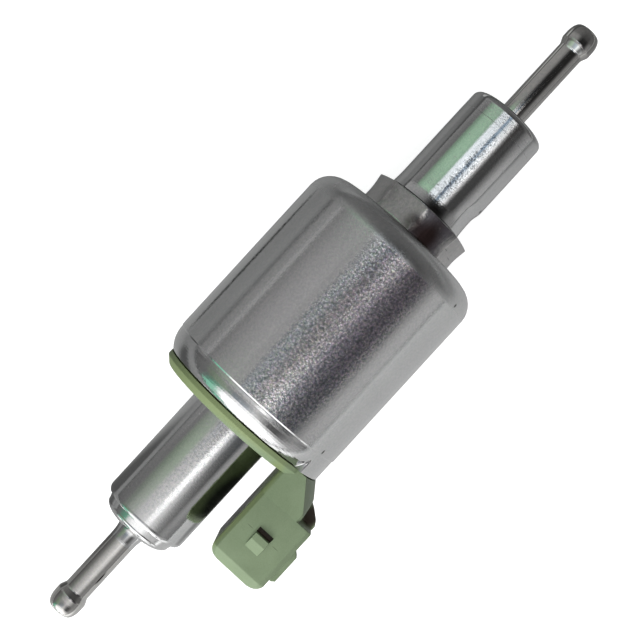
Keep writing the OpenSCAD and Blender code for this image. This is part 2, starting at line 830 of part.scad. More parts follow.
// Valve cage: guides the ball and spring, slotted so that fuel flows past
module valve_cage() {
    slot = 1.6;
    slot_in = 1.2;
    cage_hole_r = 1;
    cage_skin = 0.9;
    color("goldenrod") difference() {
        bore(plug_r, seat_out, cage_out);
        bore(cage_bore_r, seat_out - 1, cage_floor);
        bore(cage_hole_r, cage_floor - 1, cage_out + 1);
        for (a = [0:120:240]) rotate([a, 0, 0])
            block([seat_out - 1, -slot / 2, slot_in], [cage_out + 1, slot / 2, plug_r - cage_skin]);
    }
}

// Outlet cap: plug, seal groove and flange in one turned piece
module outlet_cap() {
    edge_r = 0.4;
    edge_draft = 0.1;
    color("silver") difference() {
        turned(concat(
            [[0, body_end - outlet_plug_len], [plug_r, body_end - outlet_plug_len],
             [plug_r, cap_seal_x - seal_groove / 2], [plug_r - groove_r, cap_seal_x - seal_groove / 2],
             [plug_r - groove_r, cap_seal_x + seal_groove / 2], [plug_r, cap_seal_x + seal_groove / 2],
             [plug_r, body_end], [outlet_r, body_end]],
            arc(outlet_r - edge_draft - edge_r, outlet_end - edge_r, edge_r, 0, 90, 4),
            [[0, outlet_end]]
        ));
        bore(hose_r, body_end - spigot_seat, outlet_end + 1);
        bore(drill_r, body_end - outlet_plug_len - 1, outlet_end);
    }
}

// Seal between the outlet cap and the outlet cylinder
module outlet_cap_seal() {
    color("dimgray") seal(outlet_bore_r - ring_gap - seal_r, cap_seal_x);
}

can();
crimp_collar();
connector_cover();
terminal_blades();
coil_leads();
coil_bobbin();
coil_winding();
winding_tape();
yoke_washer();
inlet_tube();
gap_ring();
outlet_body();
inlet_cap();
inlet_cap_seal();
inlet_spigot();
filter_cage();
filter_mesh();
stop_ring();
rest_bumper();
armature();
piston();
return_spring();
end_bumper();
barrel();
barrel_seal();
valve_seat();
valve_seal();
valve_ball();
valve_spring();
valve_cage();
outlet_cap();
outlet_cap_seal();
outlet_spigot();
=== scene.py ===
import bpy
import numpy as np
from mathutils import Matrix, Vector


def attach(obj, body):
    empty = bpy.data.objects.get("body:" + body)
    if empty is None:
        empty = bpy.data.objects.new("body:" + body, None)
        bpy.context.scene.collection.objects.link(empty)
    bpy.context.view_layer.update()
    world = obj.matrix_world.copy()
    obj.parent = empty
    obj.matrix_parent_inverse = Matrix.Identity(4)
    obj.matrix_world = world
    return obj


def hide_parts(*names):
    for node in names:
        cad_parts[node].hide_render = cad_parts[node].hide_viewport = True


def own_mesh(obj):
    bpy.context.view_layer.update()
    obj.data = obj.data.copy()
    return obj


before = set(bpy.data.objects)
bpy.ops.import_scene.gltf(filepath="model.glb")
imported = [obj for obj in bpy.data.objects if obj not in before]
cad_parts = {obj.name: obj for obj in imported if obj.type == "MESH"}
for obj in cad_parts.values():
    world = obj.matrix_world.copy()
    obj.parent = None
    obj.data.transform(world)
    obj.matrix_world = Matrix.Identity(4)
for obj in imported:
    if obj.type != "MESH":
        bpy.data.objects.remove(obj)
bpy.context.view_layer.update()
mm = 0.001
print("frame loaded:", len(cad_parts), "nodes")


# Shapes. The pump's axis is X; the connector hangs on the -Y side; sizes are in millimetres.

def cornerSides(place):
    # Unit directions from each corner to the one before and the one after, how far those are, half the angle
    # between the two, and their unit bisector
    sides = [np.roll(place, way, 0) - place for way in (1, -1)]
    lengths = [np.linalg.norm(side, axis=1) for side in sides]
    before, after = [side / length[:, None] for side, length in zip(sides, lengths)]
    half = np.arccos(np.clip((before * after).sum(1), -1, 1)) / 2
    bisector = before + after
    bisector = bisector / np.maximum(np.linalg.norm(bisector, axis=1), 1e-9)[:, None]
    return before, after, lengths, half, bisector


def softLoop(corners, steps=6, support=0.06):
    # Each corner (a, b, fillet) becomes an arc touching both its sides, between two points that hold the
    # flats flat, and never takes more than 0.46 of a side. The arc's centre is the corner plus the bisector
    # times fillet / sin(half the corner's angle)
    data = np.array(corners, float)
    place, fillet = data[:, :2], data[:, 2]
    before, after, lengths, half, bisector = cornerSides(place)
    half = np.clip(half, 0.01, np.pi / 2 - 1e-4)
    reach = np.minimum(fillet / np.tan(half), 0.46 * np.minimum(*lengths))
    radius = reach * np.tan(half)
    centre = place + bisector * (radius / np.sin(half))[:, None]
    start = place + before * reach[:, None] - centre
    end = place + after * reach[:, None] - centre
    sweep = (np.pi - 2 * half)[:, None]
    share = np.linspace(0, 1, steps)[None, :]
    arc = (np.sin((1 - share) * sweep)[:, :, None] * start[:, None] +
           np.sin(share * sweep)[:, :, None] * end[:, None]) / np.sin(sweep)[:, :, None]
    arc = centre[:, None] + arc
    hold = np.minimum(support, 0.25 * radius + 0.004)
    holds = [np.minimum(hold, 0.02 * length)[:, None] * side
             for side, length in zip((before, after), lengths)]
    first = arc[:, :1] + holds[0][:, None]
    last = arc[:, -1:] + holds[1][:, None]
    return np.concatenate([first, arc, last], 1).reshape(-1, 2)


def notRepeated(loop):
    # False for each point that lies on the one before it
    return np.linalg.norm(loop - np.roll(loop, 1, 0), axis=1) > 1e-5


def smoothStep(share):
    return share * share * (3 - 2 * share)


def arcPoints(centreX, centreR, radius, fromAngle, toAngle, count, fillet=0):
    # Corners along a circle's arc: x = centre + radius sin(angle), r = centre + radius cos(angle)
    angle = np.radians(np.linspace(fromAngle, toAngle, count))
    x, r = centreX + radius * np.sin(angle), centreR + radius * np.cos(angle)
    return [tuple(p) for p in np.stack([x, r, np.full(count, fillet)], 1)]


def gridFaces(rows, columns, closeRows, closeColumns):
    # Quads between neighbouring points of a grid, closed round either way
    spans = np.arange(rows - (not closeRows)), np.arange(columns - (not closeColumns))
    i, j = [index.ravel() for index in np.meshgrid(*spans, indexing="ij")]
    nextI, nextJ = (i + 1) % rows, (j + 1) % columns
    return np.stack([i * columns + j, i * columns + nextJ, nextI * columns + nextJ, nextI * columns + j], 1)


def makePiece(name, points, faces, caps=()):
    # Points in millimetres, quads as an array and caps as rings of point numbers, all turned to face outwards
    mesh = bpy.data.meshes.new(name)
    mesh.from_pydata((points * mm).tolist(), [], faces.tolist() + [list(map(int, c)) for c in caps])
    mesh.validate()
    mesh.shade_smooth()
    if signedVolume(mesh) < 0:
        mesh.flip_normals()
    piece = bpy.data.objects.new(name, mesh)
    bpy.context.scene.collection.objects.link(piece)
    return piece


def vertexPlaces(mesh):
    place = np.zeros(len(mesh.vertices) * 3)
    mesh.vertices.foreach_get("co", place)
    return place.reshape(-1, 3)


def signedVolume(mesh):
    # Sum over the triangles of corner . (corner x corner) / 6
    mesh.calc_loop_triangles()
    corners = np.zeros(len(mesh.loop_triangles) * 3, np.int32)
    mesh.loop_triangles.foreach_get("vertices", corners)
    a, b, c = vertexPlaces(mesh)[corners.reshape(-1, 3).T]
    return float((a * np.cross(b, c)).sum() / 6)


def turnedPoints(loop, angles):
    # Point (angle, s) = (x(s), r(s) cos(angle), r(s) sin(angle))
    x, r = loop[:, :1], loop[:, 1:]
    return np.stack([x + 0 * angles, r * np.cos(angles), r * np.sin(angles)], -1)


def turnedPiece(name, corners, sides=192, steps=6):
    # A closed outline of (x, r, fillet) corners turned about the pump's axis
    loop = softLoop(corners, steps)
    loop = loop[notRepeated(loop)]
    angles = np.linspace(0, 2 * np.pi, sides, endpoint=False)
    points = turnedPoints(loop, angles)
    return makePiece(name, points.reshape(-1, 3), gridFaces(len(loop), sides, True, True))


def loftPiece(name, rings):
    # Rings of equally many points joined one to the next, the two ends closed flat
    count, around = rings.shape[:2]
    first = np.arange(around)
    last = first + (count - 1) * around
    return makePiece(name, rings.reshape(-1, 3), gridFaces(count, around, False, True), [first[::-1], last])


def insetCorners(corners, inset):
    # Each corner moves inwards along its bisector by inset / sin(half its angle)
    data = np.array(corners, float)
    place = data[:, :2]
    before, after, _, half, bisector = cornerSides(place)
    turn = before[:, 0] * after[:, 1] - before[:, 1] * after[:, 0]
    area = (place[:, 0] * np.roll(place[:, 1], -1) - np.roll(place[:, 0], -1) * place[:, 1]).sum()
    inward = np.where(turn * np.sign(area) < 0, 1, -1)
    move = bisector * (inset * inward / np.maximum(np.sin(half), 0.2))[:, None]
    return np.concatenate([place + move, data[:, 2:]], 1)


def softPrism(name, corners, low, high, edge, place):
    # An outline of (a, b, fillet) corners carried from low to high, its end edges rounded by the radius edge.
    # place turns the arrays (a, b, height) into points
    turn = np.radians(np.linspace(0, 90, 5))
    inset = edge * (1 - np.sin(turn))
    rise = edge * (1 - np.cos(turn))
    heights = np.concatenate([low + rise, (high - rise)[::-1]])
    insets = np.concatenate([inset, inset[::-1]])
    loops = [softLoop(insetCorners(corners, amount), 4) for amount in insets]
    rings = [place(*loop.T, np.full(len(loop), height)) for loop, height in zip(loops, heights)]
    return loftPiece(name, np.array(rings))


def grooveCorners(x, way, radius):
    # A seal's groove in a plug, from x onwards
    floor, end = radius - sealGroove["deep"], x + way * sealGroove["wide"]
    return [(x, radius, 0.05), (x, floor, 0.05), (end, floor, 0.05), (end, radius, 0.05)]


sealGroove = {"wide": 1.4, "deep": 1.06}


def joined(name, base, added=(), cut=()):
    # The exact union of the pieces, less the cut ones, as one closed mesh with its hard edges marked
    for other, operation in [(o, "UNION") for o in added] + [(o, "DIFFERENCE") for o in cut]:
        modifier = base.modifiers.new("join", "BOOLEAN")
        modifier.solver = "EXACT"
        modifier.operation = operation
        modifier.object = other
    bpy.context.view_layer.update()
    evaluated = base.evaluated_get(bpy.context.evaluated_depsgraph_get())
    mesh = bpy.data.meshes.new_from_object(evaluated)
    mesh.name = name
    mesh.shade_smooth()
    mesh.set_sharp_from_angle(angle=np.radians(28))
    for other in [base, *added, *cut]:
        bpy.data.objects.remove(other)
    piece = bpy.data.objects.new(name, mesh)
    bpy.context.scene.collection.objects.link(piece)
    return piece


# Can: a drawn cup, its rim rolled in over the cover but left straight beside the connector

canSizes = {
    "radius": 18.0, "wall": 1.3, "bandEnd": 16.6, "top": 21.0, "shoulder": 4.4, "hole": 8.26,
    "rimStep": 0.15, "stepLong": 0.26, "rollRadius": 5.8, "rollStart": -17.0, "rollAngle": 45,
    "tongueHalf": 36.8, "tearWide": 11.0, "tearNarrow": 0.9, "burr": 0.14, "burrWide": 1.1,
}


def canPiece():
    # Two outlines, rim rolled and rim straight, are mixed by a weight that is 1 beside the connector. It
    # falls to 0 over an angle that shrinks towards the rim, narrow + (wide - narrow)(1 - along)^2, like a
    # torn edge. The burr beside it is a bell curve, burr exp(-((angle - place) / wide)^2), growing as along^6
    s = canSizes
    centreR = s["radius"] - s["rimStep"] - s["rollRadius"]
    inner = s["rollRadius"] - s["wall"]
    floor = s["top"] - s["wall"]
    bore = s["radius"] - s["wall"]
    count = 11
    rolledOut = arcPoints(s["rollStart"], centreR, s["rollRadius"], 0, -s["rollAngle"], count)
    rolledIn = arcPoints(s["rollStart"], centreR, inner, -s["rollAngle"], 0, count)
    rimEnd = rolledOut[-1][0]
    straightX = np.linspace(s["rollStart"], rimEnd, count)
    straightOut = [(x, centreR + s["rollRadius"], 0) for x in straightX]
    straightIn = [(x, centreR + inner, 0) for x in straightX[::-1]]

    def outline(out, back):
        out, back = list(out), list(back)
        out[-1] = (out[-1][0], out[-1][1], 0.15)
        back[0] = (back[0][0], back[0][1], 0.2)
        head = [(s["top"], s["hole"], 0.15), (s["top"], s["radius"], s["shoulder"]),
                (-s["bandEnd"], s["radius"], 0.04),
                (-s["bandEnd"] - s["stepLong"], s["radius"] - s["rimStep"], 0.04)]
        tail = [(-s["bandEnd"], bore, 0), (floor, bore, s["shoulder"] - s["wall"]), (floor, s["hole"], 0.1)]
        return softLoop(head + out + back + tail, 9)

    rolled = outline(rolledOut, rolledIn)
    straight = outline(straightOut, straightIn)
    keep = notRepeated(rolled)
    rolled, straight = rolled[keep], straight[keep]
    half = s["tongueHalf"]
    fine = np.concatenate([np.linspace(-s["tearWide"] / 2, s["tearWide"] / 2, 29),
                           np.linspace(-s["tearNarrow"], s["tearNarrow"], 15)])
    degrees = np.unique(np.concatenate([np.linspace(0, 360, 256, endpoint=False),
                                        180 - half + fine, 180 + half + fine]).round(3))
    away = np.abs(degrees - 180)
    along = np.clip((s["rollStart"] - rolled[:, 0]) / (s["rollStart"] - rimEnd), 0, 1)[:, None]
    edge = s["tearNarrow"] + (s["tearWide"] - s["tearNarrow"]) * (1 - along) ** 2
    weight = smoothStep(np.clip((half + edge / 2 - away) / edge, 0, 1))
    angles = np.radians(degrees)
    rolledPoints = turnedPoints(rolled, angles)
    points = rolledPoints + weight[:, :, None] * (turnedPoints(straight, angles) - rolledPoints)
    burr = s["burr"] * along ** 6 * np.exp(-((away - half - s["burrWide"]) / s["burrWide"]) ** 2)
    points = points + np.stack([0 * burr, burr * np.cos(angles), burr * np.sin(angles)], -1)
    return makePiece("can_shell", points.reshape(-1, 3), gridFaces(len(rolled), len(degrees), True, True))


can = canPiece()


# Collar: an octagon crimped in eight jaws, its corners drawn in at mid length

collarSizes = {
    "flat": 9.6, "bore": 8.26, "start": 21.0, "end": 26.45, "waist": 0.45, "crown": 0.28, "draft": 0.30,
    "edge": 0.1, "foot": 0.5, "footReach": 0.4,
}


def collarPiece():
    # r(angle, x) is the smaller of the octagon, flat / cos(a) - crown (a / 22.5)^2 at a degrees from a flat's
    # middle, and the waist, corner radius - waist (1 - t^2) with t from -1 to 1 along the collar, less the
    # draft towards the can. At the can a foot fillet takes over where it is larger
    s = collarSizes
    flatAngle = 45
    halfFlat = flatAngle / 2
    oneFlat = np.array([0, 0.4, 1, 2, 3.5, 6, 10, 16, halfFlat, 29, 35, 39, 41.5, 43, 44, 44.6])
    degrees = np.concatenate([k * flatAngle + oneFlat for k in range(360 // flatAngle)])
    angles = np.radians(degrees)
    fromMiddle = degrees % flatAngle - halfFlat
    octagon = s["flat"] / np.cos(np.radians(fromMiddle)) - s["crown"] * (fromMiddle / halfFlat) ** 2
    corner = s["flat"] / np.cos(np.radians(halfFlat))
    turn = np.radians(np.linspace(0, 90, 6))
    rise = np.concatenate([s["edge"] * (1 - np.cos(turn)), [s["edge"] + 0.05]])
    inset = np.concatenate([s["edge"] * (1 - np.sin(turn)), [0]])
    length = s["end"] - s["start"]
    down = np.linspace(s["edge"] + 0.2, length - 0.1, 17)
    x = s["end"] - np.concatenate([rise, down])
    cutBack = np.concatenate([inset, 0 * down])
    t = (x - (s["start"] + s["end"]) / 2) / (length / 2)
    waist = corner - s["waist"] * (1 - t * t)
    sharp = 70
    outer = (octagon[None, :] ** -sharp + waist[:, None] ** -sharp) ** (-1 / sharp) - cutBack[:, None]
    outer = outer - (s["draft"] * (s["end"] - x) / length)[:, None]
    above = np.clip((x - s["start"]) / s["foot"], 0, 1)
    foot = s["flat"] - s["draft"] + s["foot"] * (1 - np.sqrt(1 - (1 - above) ** 2)) - 0.05
    outer = np.maximum(outer, foot[:, None])
    points = np.stack([x[:, None] + 0 * outer, outer * np.cos(angles), outer * np.sin(angles)], -1)
    bore = np.array([(s["start"], s["flat"] + s["footReach"]), (s["start"], s["bore"]),
                     (s["end"] - s["edge"], s["bore"]), (s["end"], s["bore"] + s["edge"])])
    points = np.concatenate([points, turnedPoints(bore, angles)], 0)
    return makePiece("collar_shell", points.reshape(-1, 3), gridFaces(len(points), len(degrees), True, True))


collar = collarPiece()


# Inlet tube, its end rolled over the domed cap, and the spigot in the cap

inletSizes = {
    "radius": 8.2, "bore": 6.7, "inner": -3.0, "tubeEnd": -45.55, "counter": 7.2, "capIn": -41.15,
    "crimpEnd": -46.6, "crimp": 7.35, "domeBase": 7.25, "domeStart": -47.8, "domeRim": 6.85,
    "domeEnd": -49.25, "domeFlat": 1.6, "flare": 0.5, "flareLong": 3.0, "plug": 7.15, "grooveBack": 1.4,
    "seat": -44.15, "seatBore": 1.6, "tip": -68.75, "slip": 0.02,
}
spigotSizes = {"radius": 2.4, "bore": 1.4, "bead": 2.95, "cone": 1.2, "land": 1.1, "nose": 2.4, "tip": 1.9}


def tubePiece():
    # A closed outline turned about the axis; its end rolls in along an arc of the wall's thickness
    s = inletSizes
    wall = s["radius"] - s["bore"]
    rolled = arcPoints(s["tubeEnd"], s["bore"], wall, 0, -40, 7)
    return turnedPiece("inlet_tube_shell", [
        (s["inner"], s["bore"], 0.1), (s["inner"], s["radius"], 0.2), *rolled,
        (s["crimpEnd"], s["crimp"], 0.12), (s["crimpEnd"], s["domeBase"] + s["slip"], 0.02),
        (s["tubeEnd"], s["counter"], 0.02), (s["capIn"], s["counter"], 0.05), (s["capIn"], s["bore"], 0.1),
    ])


def inletCapPiece():
    # The dome is a quarter of an ellipse, and the flare at the spigot's root is radius + flare (1 - t)^2.2
    s = inletSizes
    root = spigotSizes["radius"]
    flatR = root + s["domeFlat"]
    turn = np.radians(np.linspace(8, 90, 10))
    dome = [(s["domeStart"] - (s["domeStart"] - s["domeEnd"]) * np.sin(a),
             flatR + (s["domeRim"] - flatR) * np.cos(a), 0) for a in turn]
    flare = [(s["domeEnd"] - s["flareLong"] * t, root + s["slip"] + s["flare"] * (1 - t) ** 2.2, 0)
             for t in np.linspace(0, 1, 14)]
    return turnedPiece("inlet_cap_shell", [
        (s["capIn"] - 0.05, s["seatBore"], 0.1), (s["capIn"] - 0.05, s["plug"], 0.2),
        *grooveCorners(s["capIn"] - s["grooveBack"], -1, s["plug"]), (s["tubeEnd"], s["plug"], 0.1),
        (s["crimpEnd"], s["domeBase"], 0.3), (s["domeStart"], s["domeRim"], 1.0), *dome, *flare,
        (s["domeEnd"] - s["flareLong"], root, 0.01), (s["seat"], root, 0.05),
        (s["seat"], s["seatBore"], 0.05),
    ])


def spigotPiece(name, seat, tip):
    # The outline runs from the seat to the tip; the bead's nose is a quarter of an ellipse
    s = spigotSizes
    way = 1 if tip > seat else -1
    length = abs(tip - seat)
    beadIn = length - s["cone"] - s["land"] - s["nose"]
    landIn, noseIn = beadIn + s["cone"], beadIn + s["cone"] + s["land"]
    turn = np.radians(np.linspace(6, 84, 12))
    nose = [(noseIn + s["nose"] * np.sin(a), s["tip"] + (s["bead"] - s["tip"]) * np.cos(a), 0) for a in turn]
    corners = [(0, s["bore"], 0.05), (0, s["radius"], 0.1), (beadIn, s["radius"], 1.0),
               (landIn, s["bead"], 1.1), (noseIn - 0.05, s["bead"], 0.6), *nose,
               (length, s["tip"] - 0.05, 0.2), (length, s["bore"], 0.12)]
    return turnedPiece(name, [(seat + way * x, r, fillet) for x, r, fillet in corners], 96)


inletTube = tubePiece()
inletCap = inletCapPiece()
inletSpigot = spigotPiece("inlet_spigot_shell", inletSizes["seat"], inletSizes["tip"])


# Outlet cylinder with the pole and its pockets, the end cap and the spigot

outletSizes = {
    "radius": 7.6, "core": 8.2, "pole": 3.0, "shoulderIn": 18.1, "shoulderOut": 19.7, "shoulder": 9.2,
    "collarTop": 26.45, "undercut": 7.2, "undercutHalf": 0.5, "flare": 0.18, "flareLong": 3.0, "relief": 0.4,
    "reliefEnd": 33.2, "reliefRun": 2.4, "reliefHalf": 62.0, "end": 45.2, "bore": 5.2, "pocket": 4.83,
    "pocketEnd": 10.0, "ring": 5.93, "ringBore": 5.03, "ringEnd": 3.9, "web": 3.53, "webEnd": 11.0,
    "capEnd": 48.9, "capRound": 1.1, "capInset": 0.02, "jointGap": 0.01, "grooveBack": 3.7, "plug": 5.15,
    "plugEnd": 39.2, "seat": 42.2, "seatBore": 1.6, "tip": 69.6,
}


def outletBodyPiece():
    # The foot flares by flare (1 - t)^2, t from 0 to 1 along it. The relief on the connector's side is
    # r - relief cos^2(90 angle / half) where x is under its end, eased in by a smooth step
    s = outletSizes
    undercutIn, undercutOut = s["collarTop"] - s["undercutHalf"], s["collarTop"] + s["undercutHalf"]
    foot = [(undercutOut + s["flareLong"] * t, s["radius"] + s["flare"] * (1 - t) ** 2, 0)
            for t in np.linspace(0, 1, 8)]
    relieved = np.linspace(s["reliefEnd"] - s["reliefRun"], s["reliefEnd"], 9)
    body = turnedPiece("outlet_body_shell", [
        (s["pole"], s["ring"], 0.05), (s["pole"], s["core"], 0.2), (s["shoulderIn"], s["core"], 0.1),
        (s["shoulderIn"], s["shoulder"], 0.2), (s["shoulderOut"], s["shoulder"], 0.2),
        (s["shoulderOut"], s["core"], 0.1), (undercutIn, s["core"], 0.15),
        (undercutIn, s["undercut"], 0.1), (undercutOut, s["undercut"], 0.15),
        *foot, *[(x, s["radius"], 0) for x in relieved],
        (s["end"], s["radius"], 0.03), (s["end"], s["bore"], 0.1), (s["webEnd"], s["bore"], 0.1),
        (s["webEnd"], s["web"], 0.1), (s["pocketEnd"], s["web"], 0.1),
        (s["pocketEnd"], s["pocket"], 0.1), (s["pole"], s["pocket"], 0.05), (s["pole"], s["ringBore"], 0.05),
        (s["ringEnd"], s["ringBore"], 0.05), (s["ringEnd"], s["ring"], 0.05),
    ])
    x, y, z = vertexPlaces(body.data).T / mm
    radius = np.hypot(y, z)
    angle = np.degrees(np.arccos(np.clip(-y / radius, -1, 1)))
    under = smoothStep(np.clip((s["reliefEnd"] - x) / s["reliefRun"], 0, 1))
    depth = s["relief"] * np.cos(np.radians(90 * np.clip(angle / s["reliefHalf"], 0, 1))) ** 2 * under
    depth = np.where((radius > s["radius"] - 0.05) & (x > s["collarTop"]), depth, 0)
    shrink = 1 - depth / radius
    body.data.vertices.foreach_set("co", (np.stack([x, y * shrink, z * shrink], 1) * mm).ravel())
    return body


def outletCapPiece():
    s = outletSizes
    joint = s["end"] + s["jointGap"]
    radius = s["radius"] - s["capInset"]
    return turnedPiece("outlet_cap_shell", [
        (s["plugEnd"], s["seatBore"], 0.1), (s["plugEnd"], s["plug"], 0.2),
        *grooveCorners(s["end"] - s["grooveBack"], 1, s["plug"]),
        (joint, s["plug"], 0.02), (joint, radius, 0.02),
        (s["capEnd"], radius, s["capRound"]), (s["capEnd"], spigotSizes["radius"], 0.05),
        (s["seat"], spigotSizes["radius"], 0.05), (s["seat"], s["seatBore"], 0.05),
    ])


outletBody = outletBodyPiece()
outletCap = outletCapPiece()
outletSpigot = spigotPiece("outlet_spigot_shell", outletSizes["seat"], outletSizes["tip"])
print("turned pieces made")


# Connector cover: flange, neck and two-way header in one green moulding

coverSizes = {
    "face": -21.15, "out": -23.25, "flange": 16.35, "bevel": 1.2, "bore": 8.26,
    "plugTop": -18.4, "plugWide": 16.4, "plugMiddle": -19.6, "plugNarrow": 15.75, "plug": 15.2,
    "headIn": -11.7, "headOut": -23.1, "halfWidth": 8.5, "headTop": -27.85, "mouth": -42.05, "wall": 1.8,
    "socketFloor": -30.55, "mouthCorner": 2.2, "mouthBevelX": 1.9, "mouthBevelZ": 1.3, "edge": 0.8,
    "neckOut": -20.1, "neckSlope": 37.5, "neckRound": 22.0, "neckRoot": -17.9,
    "neckEdge": 0.5, "rootDeep": 0.5, "ribHalf": 1.4, "ribHeight": 1.6, "ribLead": 1.44, "ribTop": -32.05,
    "ribEnd": -39.65, "nubHalf": 1.5, "nubHeight": 1.1, "nubHigh": -33.65, "nubFlat": 1.3, "nubLow": -36.75,
    "nubY": -17.25, "slotDepth": 1.0, "slotLong": 1.0,
    # The web between cover and head: x from the head's top, y from the head's outer side, fillet
    "webCorners": [(3.4, 3.0, 0.3), (2.72, 1.9, 0.5), (1.4, 0.3, 0.5), (0.6, -0.2, 0.3), (-0.3, -0.25, 0),
                   (-0.3, 4.0, 0)],
}


def headPiece():
    # The ring at x is a rectangle with bevelled corners. Near the mouth it draws in by the mouth's corner,
    # R - sqrt(R^2 - (R - d)^2) at the distance d, across Y, and by the straight bevel across Z
    s = coverSizes
    corner = s["mouthCorner"]
    length = s["headTop"] - s["mouth"]
    distance = np.concatenate([corner * (1 - np.cos(np.radians(np.linspace(18, 90, 9)))),
                               s["mouthBevelX"] + np.array([-0.12, 0.08]), [corner + 0.1, 6.0],
                               length - np.array([0.35, 0.12, 0.03, 0])])
    distance = np.unique(distance.round(4))
    drawY = corner - np.sqrt(np.clip(corner ** 2 - np.clip(corner - distance, 0, None) ** 2, 0, None))
    drawY = np.minimum(drawY, s["wall"] - 0.06)
    fromBevel = (s["mouthBevelX"] - distance) / s["mouthBevelX"]
    drawZ = s["mouthBevelZ"] * 0.5 * (fromBevel + np.sqrt(fromBevel ** 2 + 0.0006))
    topRound = 0.25
    ledge = np.clip(distance - (length - topRound), 0, topRound)
    soften = topRound - np.sqrt(np.clip(topRound ** 2 - ledge ** 2, 0, None))
    rings = []

    def ring(x, nearIn, farOut, half, fillet, cut):
        upper = [(nearIn, half - cut), (nearIn - cut, half), (farOut + cut, half), (farOut, half - cut)]
        bevelled = upper + [(a, -b) for a, b in upper[::-1]]
        loop = softLoop([(a, b, fillet) for a, b in bevelled], 3)
        return np.stack([np.full(len(loop), x), loop[:, 0], loop[:, 1]], 1)

    socketIn, socketOut = s["headIn"] - s["wall"], s["headOut"] + s["wall"]
    socketHalf = s["halfWidth"] - s["wall"]
    lip = 0.12
    for x in (s["socketFloor"], s["socketFloor"] - 0.05, s["mouth"] + 1.0, s["mouth"] + 2 * lip):
        rings.append(ring(x, socketIn, socketOut, socketHalf, 0.15, 0.35))
    rings.append(ring(s["mouth"] + lip, socketIn + 0.01, socketOut - 0.01, socketHalf + 0.02, 0.15, 0.35))
    for d, inY, inZ, inTop in zip(distance, drawY, drawZ, soften):
        rings.append(ring(s["mouth"] + d, s["headIn"] - inY - inTop, s["headOut"] + inY + inTop,
                          s["halfWidth"] - inZ - inTop, 0.22, s["edge"]))
    return loftPiece("head", np.array(rings))


def neckPiece():
    # Across Z the outer side is y = root + (x - face) tan(slope) + sag / cos(slope), where the sag at z is
    # R - sqrt(R^2 - z^2), and never further out than the neck itself
    s = coverSizes
    slope = np.radians(s["neckSlope"])
    x = np.concatenate([[s["headTop"] - 0.3], np.linspace(s["headTop"] + 0.02, s["face"] - 0.1, 22)])
    half = s["halfWidth"]
    flatHalf = half - s["neckEdge"]
    z = np.concatenate([[-half + 0.02], np.linspace(-flatHalf, flatHalf, 31), [half - 0.02]])
    edge = np.clip(np.abs(z) - flatHalf, 0, None)
    sag = s["neckRound"] - np.sqrt(s["neckRound"] ** 2 - z ** 2)
    leaning = s["neckRoot"] + (x[:, None] - s["face"]) * np.tan(slope) + sag[None, :] / np.cos(slope)
    limit = s["neckOut"] + edge[None, :]
    blend = 0.12
    gap = leaning - limit
    outer = limit + 0.5 * (gap + np.sqrt(gap ** 2 + blend ** 2))
    outer = np.minimum(outer, s["headIn"] - s["edge"] - 0.2)
    cut = s["edge"]
    inner = np.array([[s["headIn"] - cut - 0.1, half], [s["headIn"] - cut + 0.08, half - 0.06],
                      [s["headIn"] - 0.06, half - cut + 0.08], [s["headIn"], half - cut - 0.1]])
    innerLoop = np.concatenate([inner, inner[::-1] * [1, -1]])
    innerRows = np.broadcast_to(innerLoop, (len(x), *innerLoop.shape))
    y = np.concatenate([outer, innerRows[:, :, 0]], 1)
    allZ = np.concatenate([z + 0 * outer, innerRows[:, :, 1]], 1)
    return loftPiece("neck", np.stack([x[:, None] + 0 * y, y, allZ], -1))


def coverPiece():
    s = coverSizes
    disc = turnedPiece("cover_disc", [
        (s["plugTop"], s["bore"], 0.1), (s["plugTop"], s["plugWide"], 0.1),
        (s["plugMiddle"], s["plugNarrow"], 0.1), (s["face"], s["plug"], 0.05),
        (s["face"], s["flange"], 0.05), (s["out"] + s["bevel"], s["flange"], 0.3),
        (s["out"], s["flange"] - s["bevel"], 0.3), (s["out"], s["bore"], 0.15),
    ], 160)
    alongZ = lambda a, b, h: np.stack([a, b, h], 1)
    alongY = lambda a, b, h: np.stack([a, h, b], 1)
    out, root = s["headOut"], s["rootDeep"]
    rib = softPrism("rib", [
        (s["ribTop"], out + root, 0), (s["ribTop"], out, 0.05),
        (s["ribTop"] - s["ribLead"], out - s["ribHeight"], 0.3),
        (s["ribEnd"] + 0.5, out - s["ribHeight"], 0.2), (s["ribEnd"], out - 1.0, 0.2),
        (s["ribEnd"], out + root, 0),
    ], -s["ribHalf"], s["ribHalf"], 0.2, alongZ)
    webCorners = [(s["headTop"] + x, out + y, fillet) for x, y, fillet in s["webCorners"]]
    web = softPrism("web", [(s["out"] - 0.1, webCorners[-1][1], 0), *webCorners],
                    -s["ribHalf"], s["ribHalf"], 0.2, alongZ)
    added, cuts = [headPiece(), neckPiece(), rib, web], []
    nubHigh, nubLow, slotTop = s["nubHigh"], s["nubLow"], s["nubHigh"] + s["slotLong"]
    nubFrom, nubTo, slip = s["nubY"] - s["nubHalf"], s["nubY"] + s["nubHalf"], 0.05
    for side in (-1, 1):
        face = side * s["halfWidth"]
        crest, floor = face + side * s["nubHeight"], face - side * s["slotDepth"]
        added.append(softPrism("nub", [
            (nubHigh, face - side * root, 0), (nubHigh, crest, 0.15), (nubHigh - s["nubFlat"], crest, 0.3),
            (nubLow, face + side * 0.02, 0.1), (nubLow, face - side * root, 0),
        ], nubFrom, nubTo, 0.15, alongY))
        cuts.append(softPrism("slot", [
            (nubHigh, floor, 0.1), (nubHigh, face + side, 0),
            (slotTop, face + side, 0), (slotTop, floor, 0.1),
        ], nubFrom - slip, nubTo + slip, 0.05, alongY))
    return joined("connector_cover_shell", disc, added, cuts)


cover = coverPiece()
print("connector cover made")


# Nodes, made from their name and a dictionary of what goes into their sockets

